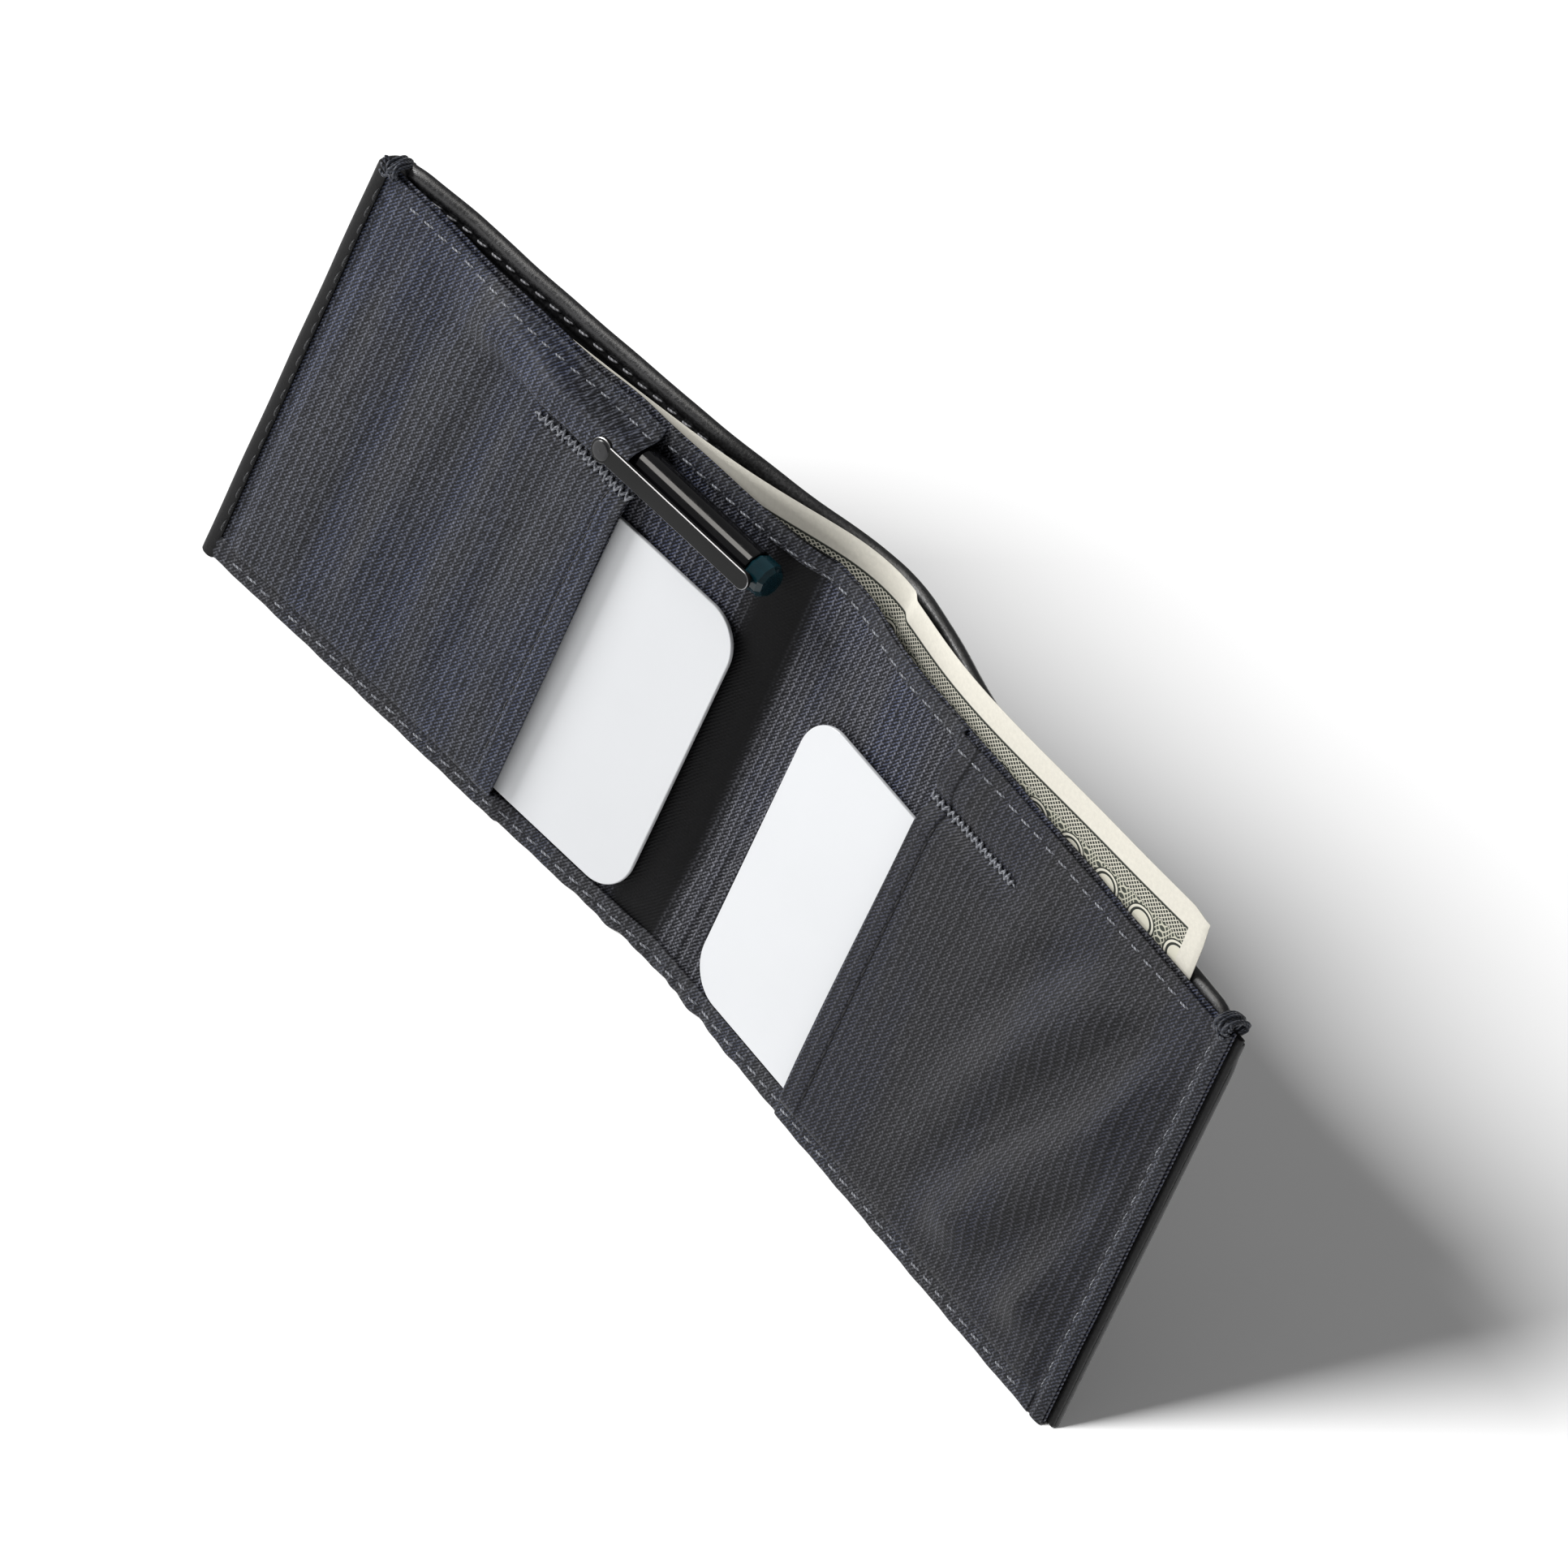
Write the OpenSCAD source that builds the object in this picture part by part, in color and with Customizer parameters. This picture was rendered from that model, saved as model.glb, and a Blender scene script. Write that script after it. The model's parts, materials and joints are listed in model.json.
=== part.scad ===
// Bifold wallet, standing open on its long bottom edge.
// It holds two blank cards, a slim pen and a banknote.
// Units are millimetres, +Z is up and -Y is the inside of the wallet.

/* [Wallet] */
// Width of one half, from the fold to its outer end
half_w = 107.8; // [90:1:115]
// Height of the leather shell
wallet_h = 78.5; // [75:0.5:90]
// Angle by which each half leans forward from flat
half_angle = 4.5; // [2:0.5:8]
// Distance between the two linings when the wallet is closed
closed_gap = 13; // [13:0.5:16]
// Thickness of the leather
leather_t = 1; // [0.8:0.1:1.4]
// Thickness of the lining cloth
cloth_t = 0.5; // [0.3:0.05:0.6]

/* [Bill compartment] */
// Gap between the lining and the turned-in leather at the seams
bill_gap = 1; // [0.8:0.1:1.4]
// Even part of the gape at the top
gape_even = 3.3; // [2:0.1:5]
// Extra gape at the fold
gape_fold = 7.8; // [4:0.1:9]
// Reach of the extra gape along the left half
gape_reach_left = 27; // [20:1:35]
// Reach of the extra gape along the right half
gape_reach_right = 32; // [20:1:35]

/* [Pockets] */
// Distance from the fold to the left pocket's opening
left_mouth = 39.5; // [36:0.5:44]
// Distance from the fold to the right pocket's opening
right_mouth = 35; // [33:0.5:40]
// Height of the seam between the card pocket and the upper pocket
divider_z = 65.3; // [64.5:0.1:65.5]
// Length of that seam
divider_len = 22; // [16:1:26]
// Height of the sewn bottom binding
binding_h = 4.2; // [3:0.1:5]
// Width of the hems
hem_w = 4.5; // [3:0.1:5]

/* [Card] */
// Length of a card
card_w = 85.6; // [85:0.1:86]
// Height of a card
card_h = 54; // [53.5:0.1:54]
// Thickness of a card
card_t = 0.76; // [0.5:0.02:0.84]
// Radius of a card's corners
card_r = 6.5; // [2:0.1:7]
// Distance from the fold to the left card's free edge
left_card_u = 11.8; // [9:0.1:12]
// Distance from the fold to the right card's free edge
right_card_u = 6.6; // [6:0.1:10]
// Height of the cards' lower edges
card_z = 6.8; // [6.5:0.1:8]

/* [Pen] */
// Diameter of the pen's barrel
pen_d = 6.2; // [5.6:0.1:6.2]
// Length of the pen
pen_len = 58; // [50:0.5:59]
// Distance from the fold to the pen's upper end
pen_u = 9.5; // [8:0.5:10]
// Height of the pen's axis
pen_z = 70.7; // [70.4:0.1:71]
// Length of the pen's clip
clip_len = 36; // [30:1:38]

/* [Banknote] */
// Length of the banknote
note_w = 156; // [140:1:160]
// Height of the banknote
note_h = 66.3; // [62:0.1:70]
// Thickness of the banknote
note_t = 0.12; // [0.1:0.01:0.2]
// Tilt of the banknote
note_tilt = 3.8; // [1:0.1:5]
// Height of the banknote's upper edge at the fold
note_z = 81.3; // [80:0.1:86]
// Length of the banknote on the right of the fold
note_right_w = 93; // [85:1:96]

/* [Stitches] */
// Distance from one stitch to the next
stitch_pitch = 3.3; // [2.8:0.1:4]
// Length of one stitch
stitch_len = 2.3; // [1.6:0.1:2.6]

/* [Hidden] */

// Y of the fold line of the linings, so that the wallet's box is centred on the origin
spine_y = -0.364;
// Clear space left at the fold, so that the halves open flat without touching
fold_clear = closed_gap / 2 * sin(half_angle) + 0.3;
// Height of the lining's top edge
lining_h = wallet_h - 1;
// Width of the lining, inside the leather at the outer end
lining_w = half_w - 1.2;
// Thickness of the leather that wraps round the left outer end
wrap_t = 0.8;
// Width of its front side
wrap_w = 3;
// Clearance between sheets that only lie on each other
play = 0.02;
// Level of the shell's inner face at its sewn edges
shell_y = cloth_t + bill_gap;
// Thickness of a stitch and of a bar-tack
thread_t = 0.35;
// Width of a stitch
thread_w = 0.45;
// Thickness of the leather turned over at the top edge
facing_t = 0.5;
// Distance of the pen's axis in front of the lining
pen_v = pen_d / 2 + 0.25;
// Flat sides and round parts
$fn = 48;

// Puts a half's own drawing in place. In it X runs from the fold to the outer end,
// and Y runs from the inside of the wallet to the leather.
module left_side() {
    translate([0, spine_y, 0]) rotate([0, 0, half_angle]) mirror([1, 0, 0]) children();
}

module right_side() {
    translate([0, spine_y, 0]) rotate([0, 0, -half_angle]) children();
}

// Evenly spaced values from a to b
function steps(a, b, n) = [for (i = [0:n]) a + (b - a) * i / n];

// A value that goes smoothly from 0 at a to 1 at b
function ramp(x, a, b) = let (t = min(1, max(0, (x - a) / (b - a)))) t * t * (3 - 2 * t);

// A closed sheet between the faces y = near(u, z) and y = far(u, z)
module sheet(us, zs, near, far) {
    nu = len(us);
    nz = len(zs);
    points = concat([for (u = us, z = zs) [u, near(u, z), z]],
                    [for (u = us, z = zs) [u, far(u, z), z]]);
    function a(i, j) = i * nz + j;
    function b(i, j) = nu * nz + a(i, j);
    faces = concat(
        [for (i = [0:nu - 2], j = [0:nz - 2]) [a(i, j), a(i, j + 1), a(i + 1, j + 1)]],
        [for (i = [0:nu - 2], j = [0:nz - 2]) [a(i, j), a(i + 1, j + 1), a(i + 1, j)]],
        [for (i = [0:nu - 2], j = [0:nz - 2]) [b(i, j), b(i + 1, j + 1), b(i, j + 1)]],
        [for (i = [0:nu - 2], j = [0:nz - 2]) [b(i, j), b(i + 1, j), b(i + 1, j + 1)]],
        [for (i = [0:nu - 2]) [a(i, 0), a(i + 1, 0), b(i + 1, 0), b(i, 0)]],
        [for (i = [0:nu - 2]) [a(i, nz - 1), b(i, nz - 1), b(i + 1, nz - 1), a(i + 1, nz - 1)]],
        [for (j = [0:nz - 2]) [a(0, j), b(0, j), b(0, j + 1), a(0, j + 1)]],
        [for (j = [0:nz - 2]) [a(nu - 1, j), a(nu - 1, j + 1), b(nu - 1, j + 1), b(nu - 1, j)]]);
    polyhedron(points, faces, convexity = 6);
}

// How far the leather stands behind its sewn level
function gape(u, z, reach) =
    (gape_even * (1 - u / half_w) + gape_fold * exp(-pow(u / reach, 2)))
    * pow(max(0, z - binding_h) / (wallet_h - binding_h), 1.25);

shell_us = concat(steps(fold_clear, 44, 10), steps(54, lining_w, 5));
shell_zs = [0, binding_h, 12, 22, 34, 46, 58, 68, wallet_h - hem_w, wallet_h];

// The leather of one half
module shell(reach, end) {
    us = concat([for (u = shell_us) if (u < end) u], [end]);
    sheet(us, shell_zs,
          function(u, z) shell_y + gape(u, z, reach),
          function(u, z) shell_y + leather_t + gape(u, z, reach));
}

// The leather turned over inside the shell's top edge
module shell_facing(reach) {
    us = [for (u = shell_us) if (u < lining_w - hem_w) u];
    sheet(us, [wallet_h - hem_w, wallet_h],
          function(u, z) shell_y - facing_t - play + gape(u, z, reach),
          function(u, z) shell_y - play + gape(u, z, reach));
}

// The leather turned in between the lining and the shell, at the bottom and the outer end
module turned_edge() {
    translate([0, shell_y - play, 0]) rotate([90, 0, 0]) linear_extrude(bill_gap - 2 * play)
        polygon([[fold_clear, 0.2], [lining_w, 0.2], [lining_w, lining_h - 0.5],
                 [lining_w - hem_w, lining_h - 0.5], [lining_w - hem_w, binding_h],
                 [fold_clear, binding_h]]);
}

// The lining of one half, which is the bill compartment's front wall
module lining() {
    translate([fold_clear, 0, 0.2])
        cube([lining_w - fold_clear, cloth_t - play, lining_h - 0.2]);
}

// Level of a pocket's inner face in front of the lining. It is sewn down at the bottom,
// at the outer end, at the top and along the divider, and it stands open at its mouth.
function pocket_v(u, z, mouth, pen) =
    let (body = (1.9 + 0.9 * ramp(u, mouth + 30, mouth)) * ramp(z, binding_h, card_z)
                * ramp(z, lining_h - 0.4, lining_h - 6),
         pinned = ramp(abs(z - divider_z), 4, 1.2)
                  * ramp(u, mouth + divider_len + 8, mouth + divider_len + 2),
         swell = (pen_v + pen_d / 2 + 0.15) * exp(-pow((z - pen_z) / 3.7, 6))
                 * ramp(u, pen_u + pen_len + 14, pen_u + pen_len + 6))
    play + (body * (1 - pinned) * (1 - pen * ramp(z, 64.5, 68)) + pen * swell)
           * ramp(u, lining_w - hem_w, 99.5);

pocket_zs = concat([0.3, binding_h, 5.5, card_z, 22, 38, 54, 61.2, 62.6, 64.1, 65.3, 65.95, 66.5],
                   steps(66.9, 75.9, 15), [lining_h - 0.4]);

// A pocket's sheet
module pocket(mouth, pen) {
    us = concat(steps(mouth, mouth + 30, 5), steps(mouth + 33, mouth + 45, 4), [90, 97],
                steps(99.5, lining_w - hem_w, 3), [lining_w]);
    sheet(us, pocket_zs,
          function(u, z) -pocket_v(u, z, mouth, pen) - cloth_t + 0.05,
          function(u, z) -pocket_v(u, z, mouth, pen));
}

// The hem folded in behind the card pocket's mouth
module pocket_hem(mouth) {
    hem_t = 0.3;
    sheet([mouth, mouth + hem_w], [for (z = pocket_zs) if (z >= card_z && z < divider_z - 4) z],
          function(u, z) -pocket_v(mouth + hem_w, z, mouth, 0) + play,
          function(u, z) -pocket_v(mouth + hem_w, z, mouth, 0) + play + hem_t);
}

// The binding sewn along the bottom, over the lining and the pocket
module bottom_binding(mouth, end) {
    front = cloth_t + 3 * play;
    linear_extrude(binding_h)
        polygon([[fold_clear, -play], [mouth - 0.6, -play], [mouth - 0.6, -front],
                 [end, -front], [end, -front - cloth_t],
                 [mouth - 1.4, -front - cloth_t], [mouth - 1.4, -play - cloth_t],
                 [fold_clear, -play - cloth_t]]);
}

// A row of stitches along X, from u0 to u1, on the face at y
module stitch_row(u0, u1, y, z) {
    count = floor((u1 - u0) / stitch_pitch);
    for (i = [0:count - 1])
        translate([u0 + i * stitch_pitch, y - thread_t, z - thread_w / 2])
            cube([stitch_len, thread_t, thread_w]);
}

// A row of stitches along Z, on the face at y
module stitch_column(z0, z1, y, u) {
    count = floor((z1 - z0) / stitch_pitch);
    for (i = [0:count - 1])
        translate([u - thread_w / 2, y - thread_t, z0 + i * stitch_pitch])
            cube([thread_w, thread_t, stitch_len]);
}

module bottom_stitches(mouth) {
    z = binding_h / 2;
    stitch_row(fold_clear + 1, mouth - 2, -play - cloth_t, z);
    stitch_row(mouth + 0.4, lining_w - hem_w - 0.5, -3 * play - 2 * cloth_t, z);
}

// The stitches of the top hem, over the lining and then over the pocket
module lining_stitches(mouth, pen) {
    z = lining_h - hem_w + 0.7;
    stitch_row(fold_clear + 1, mouth - 1, -play - cloth_t, z);
    count = floor((94 - mouth - 6) / stitch_pitch);
    for (i = [0:count - 1]) {
        u = mouth + 6 + i * stitch_pitch;
        v = max(pocket_v(u, z - thread_w, mouth, pen), pocket_v(u + stitch_len, z - thread_w, mouth, pen));
        translate([u, -v - cloth_t - thread_t - 0.1, z - thread_w / 2])
            cube([stitch_len, thread_t, thread_w]);
    }
}

// The stitches that hold the facing, which follow the gape of the shell
module facing_stitches(reach) {
    z = wallet_h - hem_w + 0.8;
    count = floor((98 - fold_clear) / stitch_pitch);
    for (i = [0:count - 1]) {
        u = fold_clear + 1 + i * stitch_pitch;
        y = shell_y - facing_t - play + gape(u + stitch_len, z, reach);
        translate([u, y - thread_t - 0.1, z - thread_w / 2])
            cube([stitch_len, thread_t, thread_w]);
    }
}

module side_stitches(y, u) {
    stitch_column(binding_h + 1, lining_h - 3, y, u);
}

// The stitches of a pocket's mouth, in front of its sheet
module pocket_stitches(mouth, pen) {
    u = mouth + hem_w - 0.8;
    count = floor(52 / stitch_pitch);
    for (i = [0:count - 1]) {
        z = 9 + i * stitch_pitch;
        translate([u - thread_w / 2, -pocket_v(u - thread_w, z, mouth, pen) - cloth_t - thread_t, z])
            cube([thread_w, thread_t, stitch_len]);
    }
}

// The zig-zag seam that closes off the card pocket, over the pinned cloth
module bar_tack(mouth) {
    zigs = 13;
    zig_h = 1.2;
    pitch = (divider_len - 2) / zigs;
    y = -4 * play - cloth_t;
    for (i = [0:zigs - 1])
        translate([mouth + 1 + i * pitch, y, divider_z])
            rotate([0, i % 2 == 0 ? 28 : -28, 0])
                translate([-thread_w / 2, -thread_t, -zig_h / 2]) cube([thread_w, thread_t, zig_h]);
}

// The thread wound over the top corner
module corner_knot() {
    wraps = 4;
    r = 0.6;
    for (i = [0:wraps - 1])
        translate([lining_w - 1 - i * 2 * (r + play), shell_y - play, lining_h + r + play])
            rotate([90, 0, 0]) cylinder(r = r, h = 2.6);
}

// A card, which stands in its pocket on its long edge
module card(u) {
    translate([u, -0.3, card_z]) rotate([90, 0, 0]) linear_extrude(card_t)
        translate([card_r, card_r]) offset(r = card_r)
            square([card_w - 2 * card_r, card_h - 2 * card_r]);
}

// One part of the banknote, from the fold to its own end. The tilt raises the right end.
module banknote(w, tilt) {
    rise = tan(tilt);
    top = note_z;
    low = note_z - note_h / cos(tilt);
    lean = note_h * sin(tilt);
    translate([0, cloth_t + 0.1 + note_t, 0]) rotate([90, 0, 0])
        linear_extrude(note_t)
            polygon([[fold_clear, low + fold_clear * rise],
                     [w * cos(tilt) + lean, low + (w * cos(tilt) + lean) * rise],
                     [w * cos(tilt), top + w * cos(tilt) * rise],
                     [fold_clear, top + fold_clear * rise]]);
}

// Draws along the pen's axis, with Z from the pen's upper end to its tip
module on_pen_axis() {
    translate([pen_u, -pen_v, pen_z]) rotate([0, 90, 0]) children();
}

plug_len = 4;
nose_len = 12;
bore_r = pen_d / 2 - 0.5;

module left_shell() {
    color("#1b1b1d") left_side() shell(gape_reach_left, lining_w);
}

module right_shell() {
    color("#1b1b1d") right_side() shell(gape_reach_right, half_w);
}

module left_shell_facing() {
    color("#202022") left_side() shell_facing(gape_reach_left);
}

module right_shell_facing() {
    color("#202022") right_side() shell_facing(gape_reach_right);
}

module left_turned_edge() {
    color("#202022") left_side() turned_edge();
}

module right_turned_edge() {
    color("#202022") right_side() turned_edge();
}

// The leather that wraps round the left half's outer end and over the pocket
module left_edge_wrap() {
    front = cloth_t + 3 * play;
    color("#1b1b1d") left_side() linear_extrude(lining_h)
        polygon([[lining_w + play, shell_y + leather_t], [half_w, shell_y + leather_t],
                 [half_w, -front - wrap_t], [half_w - wrap_w, -front - wrap_t],
                 [half_w - wrap_w, -front], [lining_w + play, -front]]);
}

// The twill hem over the right half's outer end
module right_edge_hem() {
    front = cloth_t + 3 * play;
    color("#343a48") right_side()
        translate([lining_w - hem_w + play, -front - cloth_t, 0.2])
            cube([hem_w - play, cloth_t, lining_h - 0.6]);
}

module left_lining() {
    color("#2e323c") left_side() lining();
}

module right_lining() {
    color("#2e323c") right_side() lining();
}

// The folded hem along the lining's top edge, from the fold to the pocket's mouth
module lining_hem(mouth) {
    translate([fold_clear, -play - cloth_t, lining_h - hem_w])
        cube([mouth - 0.6 - fold_clear, cloth_t, hem_w]);
}

module left_lining_hem() {
    color("#343a48") left_side() lining_hem(left_mouth);
}

module right_lining_hem() {
    color("#343a48") right_side() lining_hem(right_mouth);
}

module left_pocket() {
    color("#2e323c") left_side() pocket(left_mouth, 1);
}

module right_pocket() {
    color("#2e323c") right_side() pocket(right_mouth, 0);
}

module left_pocket_hem() {
    color("#2e323c") left_side() pocket_hem(left_mouth);
}

module right_pocket_hem() {
    color("#2e323c") right_side() pocket_hem(right_mouth);
}

module left_bottom_binding() {
    color("#343a48") left_side() bottom_binding(left_mouth, half_w - wrap_w - play);
}

module right_bottom_binding() {
    color("#343a48") right_side() bottom_binding(right_mouth, lining_w - hem_w);
}

module left_bottom_stitches() {
    color("#8a94a6") left_side() bottom_stitches(left_mouth);
}

module right_bottom_stitches() {
    color("#8a94a6") right_side() bottom_stitches(right_mouth);
}

module left_lining_stitches() {
    color("#8a94a6") left_side() lining_stitches(left_mouth, 1);
}

module right_lining_stitches() {
    color("#8a94a6") right_side() lining_stitches(right_mouth, 0);
}

module left_facing_stitches() {
    color("#55585f") left_side() facing_stitches(gape_reach_left);
}

module right_facing_stitches() {
    color("#55585f") right_side() facing_stitches(gape_reach_right);
}

module left_side_stitches() {
    color("#55585f") left_side() side_stitches(-3 * play - cloth_t - wrap_t, half_w - wrap_w + 0.5);
}

module right_side_stitches() {
    color("#8a94a6") right_side() side_stitches(-3 * play - 2 * cloth_t, lining_w - hem_w + 1);
}

module left_pocket_stitches() {
    color("#55585f") left_side() pocket_stitches(left_mouth, 1);
}

module right_pocket_stitches() {
    color("#55585f") right_side() pocket_stitches(right_mouth, 0);
}

module left_bar_tack() {
    color("#9aa3b2") left_side() bar_tack(left_mouth);
}

module right_bar_tack() {
    color("#9aa3b2") right_side() bar_tack(right_mouth);
}

module left_corner_knot() {
    color("#3c4252") left_side() corner_knot();
}

module right_corner_knot() {
    color("#3c4252") right_side() corner_knot();
}

module left_card() {
    color("#f2f2f0") left_side() card(left_card_u);
}

module right_card() {
    color("#f2f2f0") right_side() card(right_card_u);
}

module banknote_left() {
    color("#d8cfb4") left_side() banknote(note_w - note_right_w, -note_tilt);
}

module banknote_right() {
    color("#d8cfb4") right_side() banknote(note_right_w, note_tilt);
}

// The barrel is a tube, open at both ends for the plug and the nose
module pen_barrel() {
    color("#0b0c0e") left_side() on_pen_axis() translate([0, 0, plug_len])
        difference() {
            cylinder(d = pen_d, h = pen_len - plug_len - nose_len);
            translate([0, 0, -1]) cylinder(r = bore_r, h = pen_len);
        }
}

module pen_nose() {
    tip_r = 1.3;
    color("#0b0c0e") left_side() on_pen_axis() translate([0, 0, pen_len - nose_len])
        difference() {
            rotate_extrude()
                polygon([[0, -5], [bore_r - play, -5], [bore_r - play, 0], [pen_d / 2, 0],
                         [pen_d / 2 - 0.3, 3], [tip_r + 0.4, nose_len - 1],
                         [tip_r, nose_len], [0, nose_len]]);
            translate([0, 0, -6]) cylinder(r = 0.9, h = nose_len + 7);
        }
}

// The ink refill, which runs from the plug's socket through the nose
module pen_refill() {
    color("#b8bcc2") left_side() on_pen_axis() translate([0, 0, plug_len + 3])
        cylinder(r = 0.88, h = pen_len - plug_len - 3 - 0.4);
}

// The faceted plug in the pen's upper end
module pen_end_plug() {
    sides = 10;
    color("#0f3f45") left_side() on_pen_axis() {
        cylinder(d = pen_d - 0.2, h = plug_len, $fn = sides);
        translate([0, 0, plug_len]) difference() {
            cylinder(r = bore_r - play, h = 5);
            translate([0, 0, 3]) cylinder(r = 0.9, h = 3);
        }
    }
}

// Level of the clip's inner face in front of the lining
clip_v = pen_v + pen_d / 2 + 0.9;
clip_w = 3.1;
clip_t = 0.8;
disc_r = 2;

// The clip is a flat bar with a round root, a post to the barrel and a round free end
module pen_clip() {
    color("#2a2c30") left_side() translate([pen_u + 1, -clip_v, pen_z]) rotate([90, 0, 0]) {
        linear_extrude(clip_t) {
            translate([clip_w / 2, 0]) circle(d = clip_w);
            translate([clip_w / 2, -clip_w / 2]) square([clip_len - clip_w / 2 - disc_r, clip_w]);
            translate([clip_len - disc_r, 0]) circle(r = disc_r);
        }
        translate([clip_w / 2, 0, pen_v + pen_d / 2 - clip_v]) cylinder(r = 0.8, h = clip_v - pen_v - pen_d / 2);
    }
}

// The round disc let into the clip's free end
module pen_clip_disc() {
    color("#33363c") left_side()
        translate([pen_u + 1 + clip_len - disc_r, -clip_v - clip_t, pen_z]) rotate([90, 0, 0])
            cylinder(r = disc_r - 0.4, h = 0.2);
}

left_shell();
left_shell_facing();
left_turned_edge();
left_edge_wrap();
left_lining();
left_lining_hem();
left_pocket();
left_pocket_hem();
left_bottom_binding();
left_bottom_stitches();
left_lining_stitches();
left_facing_stitches();
left_side_stitches();
left_pocket_stitches();
left_bar_tack();
left_corner_knot();
right_shell();
right_shell_facing();
right_turned_edge();
right_edge_hem();
right_lining();
right_lining_hem();
right_pocket();
right_pocket_hem();
right_bottom_binding();
right_bottom_stitches();
right_lining_stitches();
right_facing_stitches();
right_side_stitches();
right_pocket_stitches();
right_bar_tack();
right_corner_knot();
left_card();
right_card();
banknote_left();
banknote_right();
pen_barrel();
pen_nose();
pen_refill();
pen_end_plug();
pen_clip();
pen_clip_disc();
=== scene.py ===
"""Looks of a bifold wallet that stands open on its long bottom edge.

Soft pieces are drawn in flat coordinates in mm: u runs along the open wallet from the
fold, d is the depth behind the lining's front face, and z is the height. world() bends
them onto the two halves.
"""

import json
from math import atan2, cos, pi, radians, sin, sqrt

import bpy
import numpy as np
from mathutils import Matrix, Vector

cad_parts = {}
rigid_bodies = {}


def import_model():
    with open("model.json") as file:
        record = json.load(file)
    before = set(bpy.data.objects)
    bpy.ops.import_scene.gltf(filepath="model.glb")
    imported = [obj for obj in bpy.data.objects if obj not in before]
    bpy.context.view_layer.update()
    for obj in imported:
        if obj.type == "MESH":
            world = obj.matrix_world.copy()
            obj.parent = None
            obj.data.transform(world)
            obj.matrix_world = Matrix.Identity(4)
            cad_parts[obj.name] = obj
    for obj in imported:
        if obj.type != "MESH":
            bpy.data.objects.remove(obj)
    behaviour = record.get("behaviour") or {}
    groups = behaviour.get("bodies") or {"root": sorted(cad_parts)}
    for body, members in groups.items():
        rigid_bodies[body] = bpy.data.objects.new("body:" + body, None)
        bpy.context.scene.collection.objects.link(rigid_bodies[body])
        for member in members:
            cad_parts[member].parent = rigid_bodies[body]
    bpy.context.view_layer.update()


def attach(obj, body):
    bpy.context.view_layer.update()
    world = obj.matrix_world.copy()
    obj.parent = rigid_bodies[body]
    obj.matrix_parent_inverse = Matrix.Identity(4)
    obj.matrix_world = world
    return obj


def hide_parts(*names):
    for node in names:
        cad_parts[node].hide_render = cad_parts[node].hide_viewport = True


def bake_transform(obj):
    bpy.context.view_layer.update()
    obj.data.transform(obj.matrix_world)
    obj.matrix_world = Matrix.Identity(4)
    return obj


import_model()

# Sizes in mm, the same as the CAD part's
HALF_W = 107.8
WALLET_H = 78.5
HALF_ANGLE = radians(4.5)
COS = cos(HALF_ANGLE)
SIN = sin(HALF_ANGLE)
SPINE_Y = -0.364
LINING_H = 77.5
LINING_W = 106.6
HEM = 4.5
BINDING_H = 4.2
BOTTOM_ROW = BINDING_H / 2
LEFT_MOUTH = 39.5
RIGHT_MOUTH = 35.0
DIVIDER_Z = 65.3
DIVIDER_LEN = 22.0
PEN_Z = 70.7
PEN_V = 3.35
PEN_R = 3.1
PEN_U = 9.5
PEN_LEN = 58.0
CARD_SIZE = (85.6, 54.0, 0.76)
STITCH_PITCH = 3.3
STITCH_LEN = 2.3
CLOTH = 0.5
LEATHER = 1.0
SHELL_D = 1.5
GAPE_EVEN = 3.3
GAPE_FOLD = 7.8

# Sizes in mm that differ from the CAD part's, or that only the looks have
TOP_HEM = 3.4
TOP_ROW = 74.7
CARD_Z = 4.8
CARD_ROUND = 6.9
FOLD_ROUND = 6.0
FACING_ROW = 75.6
OUTER_ROW = 75.0

# Reach from the fold, in mm, passed to bend() for each kind of piece
SHELL_REACH = 20
CLOTH_REACH = 5
NOTE_REACH = 7


# ---------- numbers
def ramp(x, a, b):
    """Goes smoothly from 0 at a to 1 at b."""
    t = np.clip((np.asarray(x, float) - a) / (b - a), 0, 1)
    return t * t * (3 - 2 * t)


def bell(x, centre, width):
    """A bell curve of height 1."""
    return np.exp(-(((np.asarray(x, float) - centre) / width) ** 2))


def world(u, d, z):
    """Flat coordinates in mm to the row frame in metres. The fold is rounded."""
    u, d, z = np.broadcast_arrays(np.asarray(u, float), d, z)
    inside = np.abs(u) < FOLD_ROUND
    h = np.where(inside, (u * u + FOLD_ROUND**2) / (2 * FOLD_ROUND), np.abs(u))
    slope = np.where(inside, u / FOLD_ROUND, np.sign(u))
    n = np.hypot(SIN * slope, COS)
    x = u * COS + d * SIN * slope / n
    y = SPINE_Y - SIN * h + d * COS / n
    return np.stack([x, y, z], -1) * 0.001


def spread(a, b, step):
    """Values from a to b, about a step apart."""
    return np.linspace(a, b, max(2, int(round(abs(b - a) / step)) + 1))


def spans(*parts):
    """The values of several stretches, each (a, b, step), one after the other."""
    return np.concatenate([spread(*part) for part in parts])


def rounded(values, t):
    """Adds rows near both ends, so that a sheet's edge can be rounded."""
    k = np.array([0.08, 0.3, 0.7]) * t / 2
    inner = values[(values > values[0] + t * 0.6) & (values < values[-1] - t * 0.6)]
    return np.concatenate([[values[0]], values[0] + k, inner, values[-1] - k[::-1], [values[-1]]])


def edge_scale(values, t):
    """Share of a sheet's thickness at each row, for a rounded edge."""
    q = np.clip(np.minimum(values - values[0], values[-1] - values) / (t / 2), 0, 1)
    return 0.12 + 0.88 * np.sqrt(1 - (1 - q) ** 2)


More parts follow.
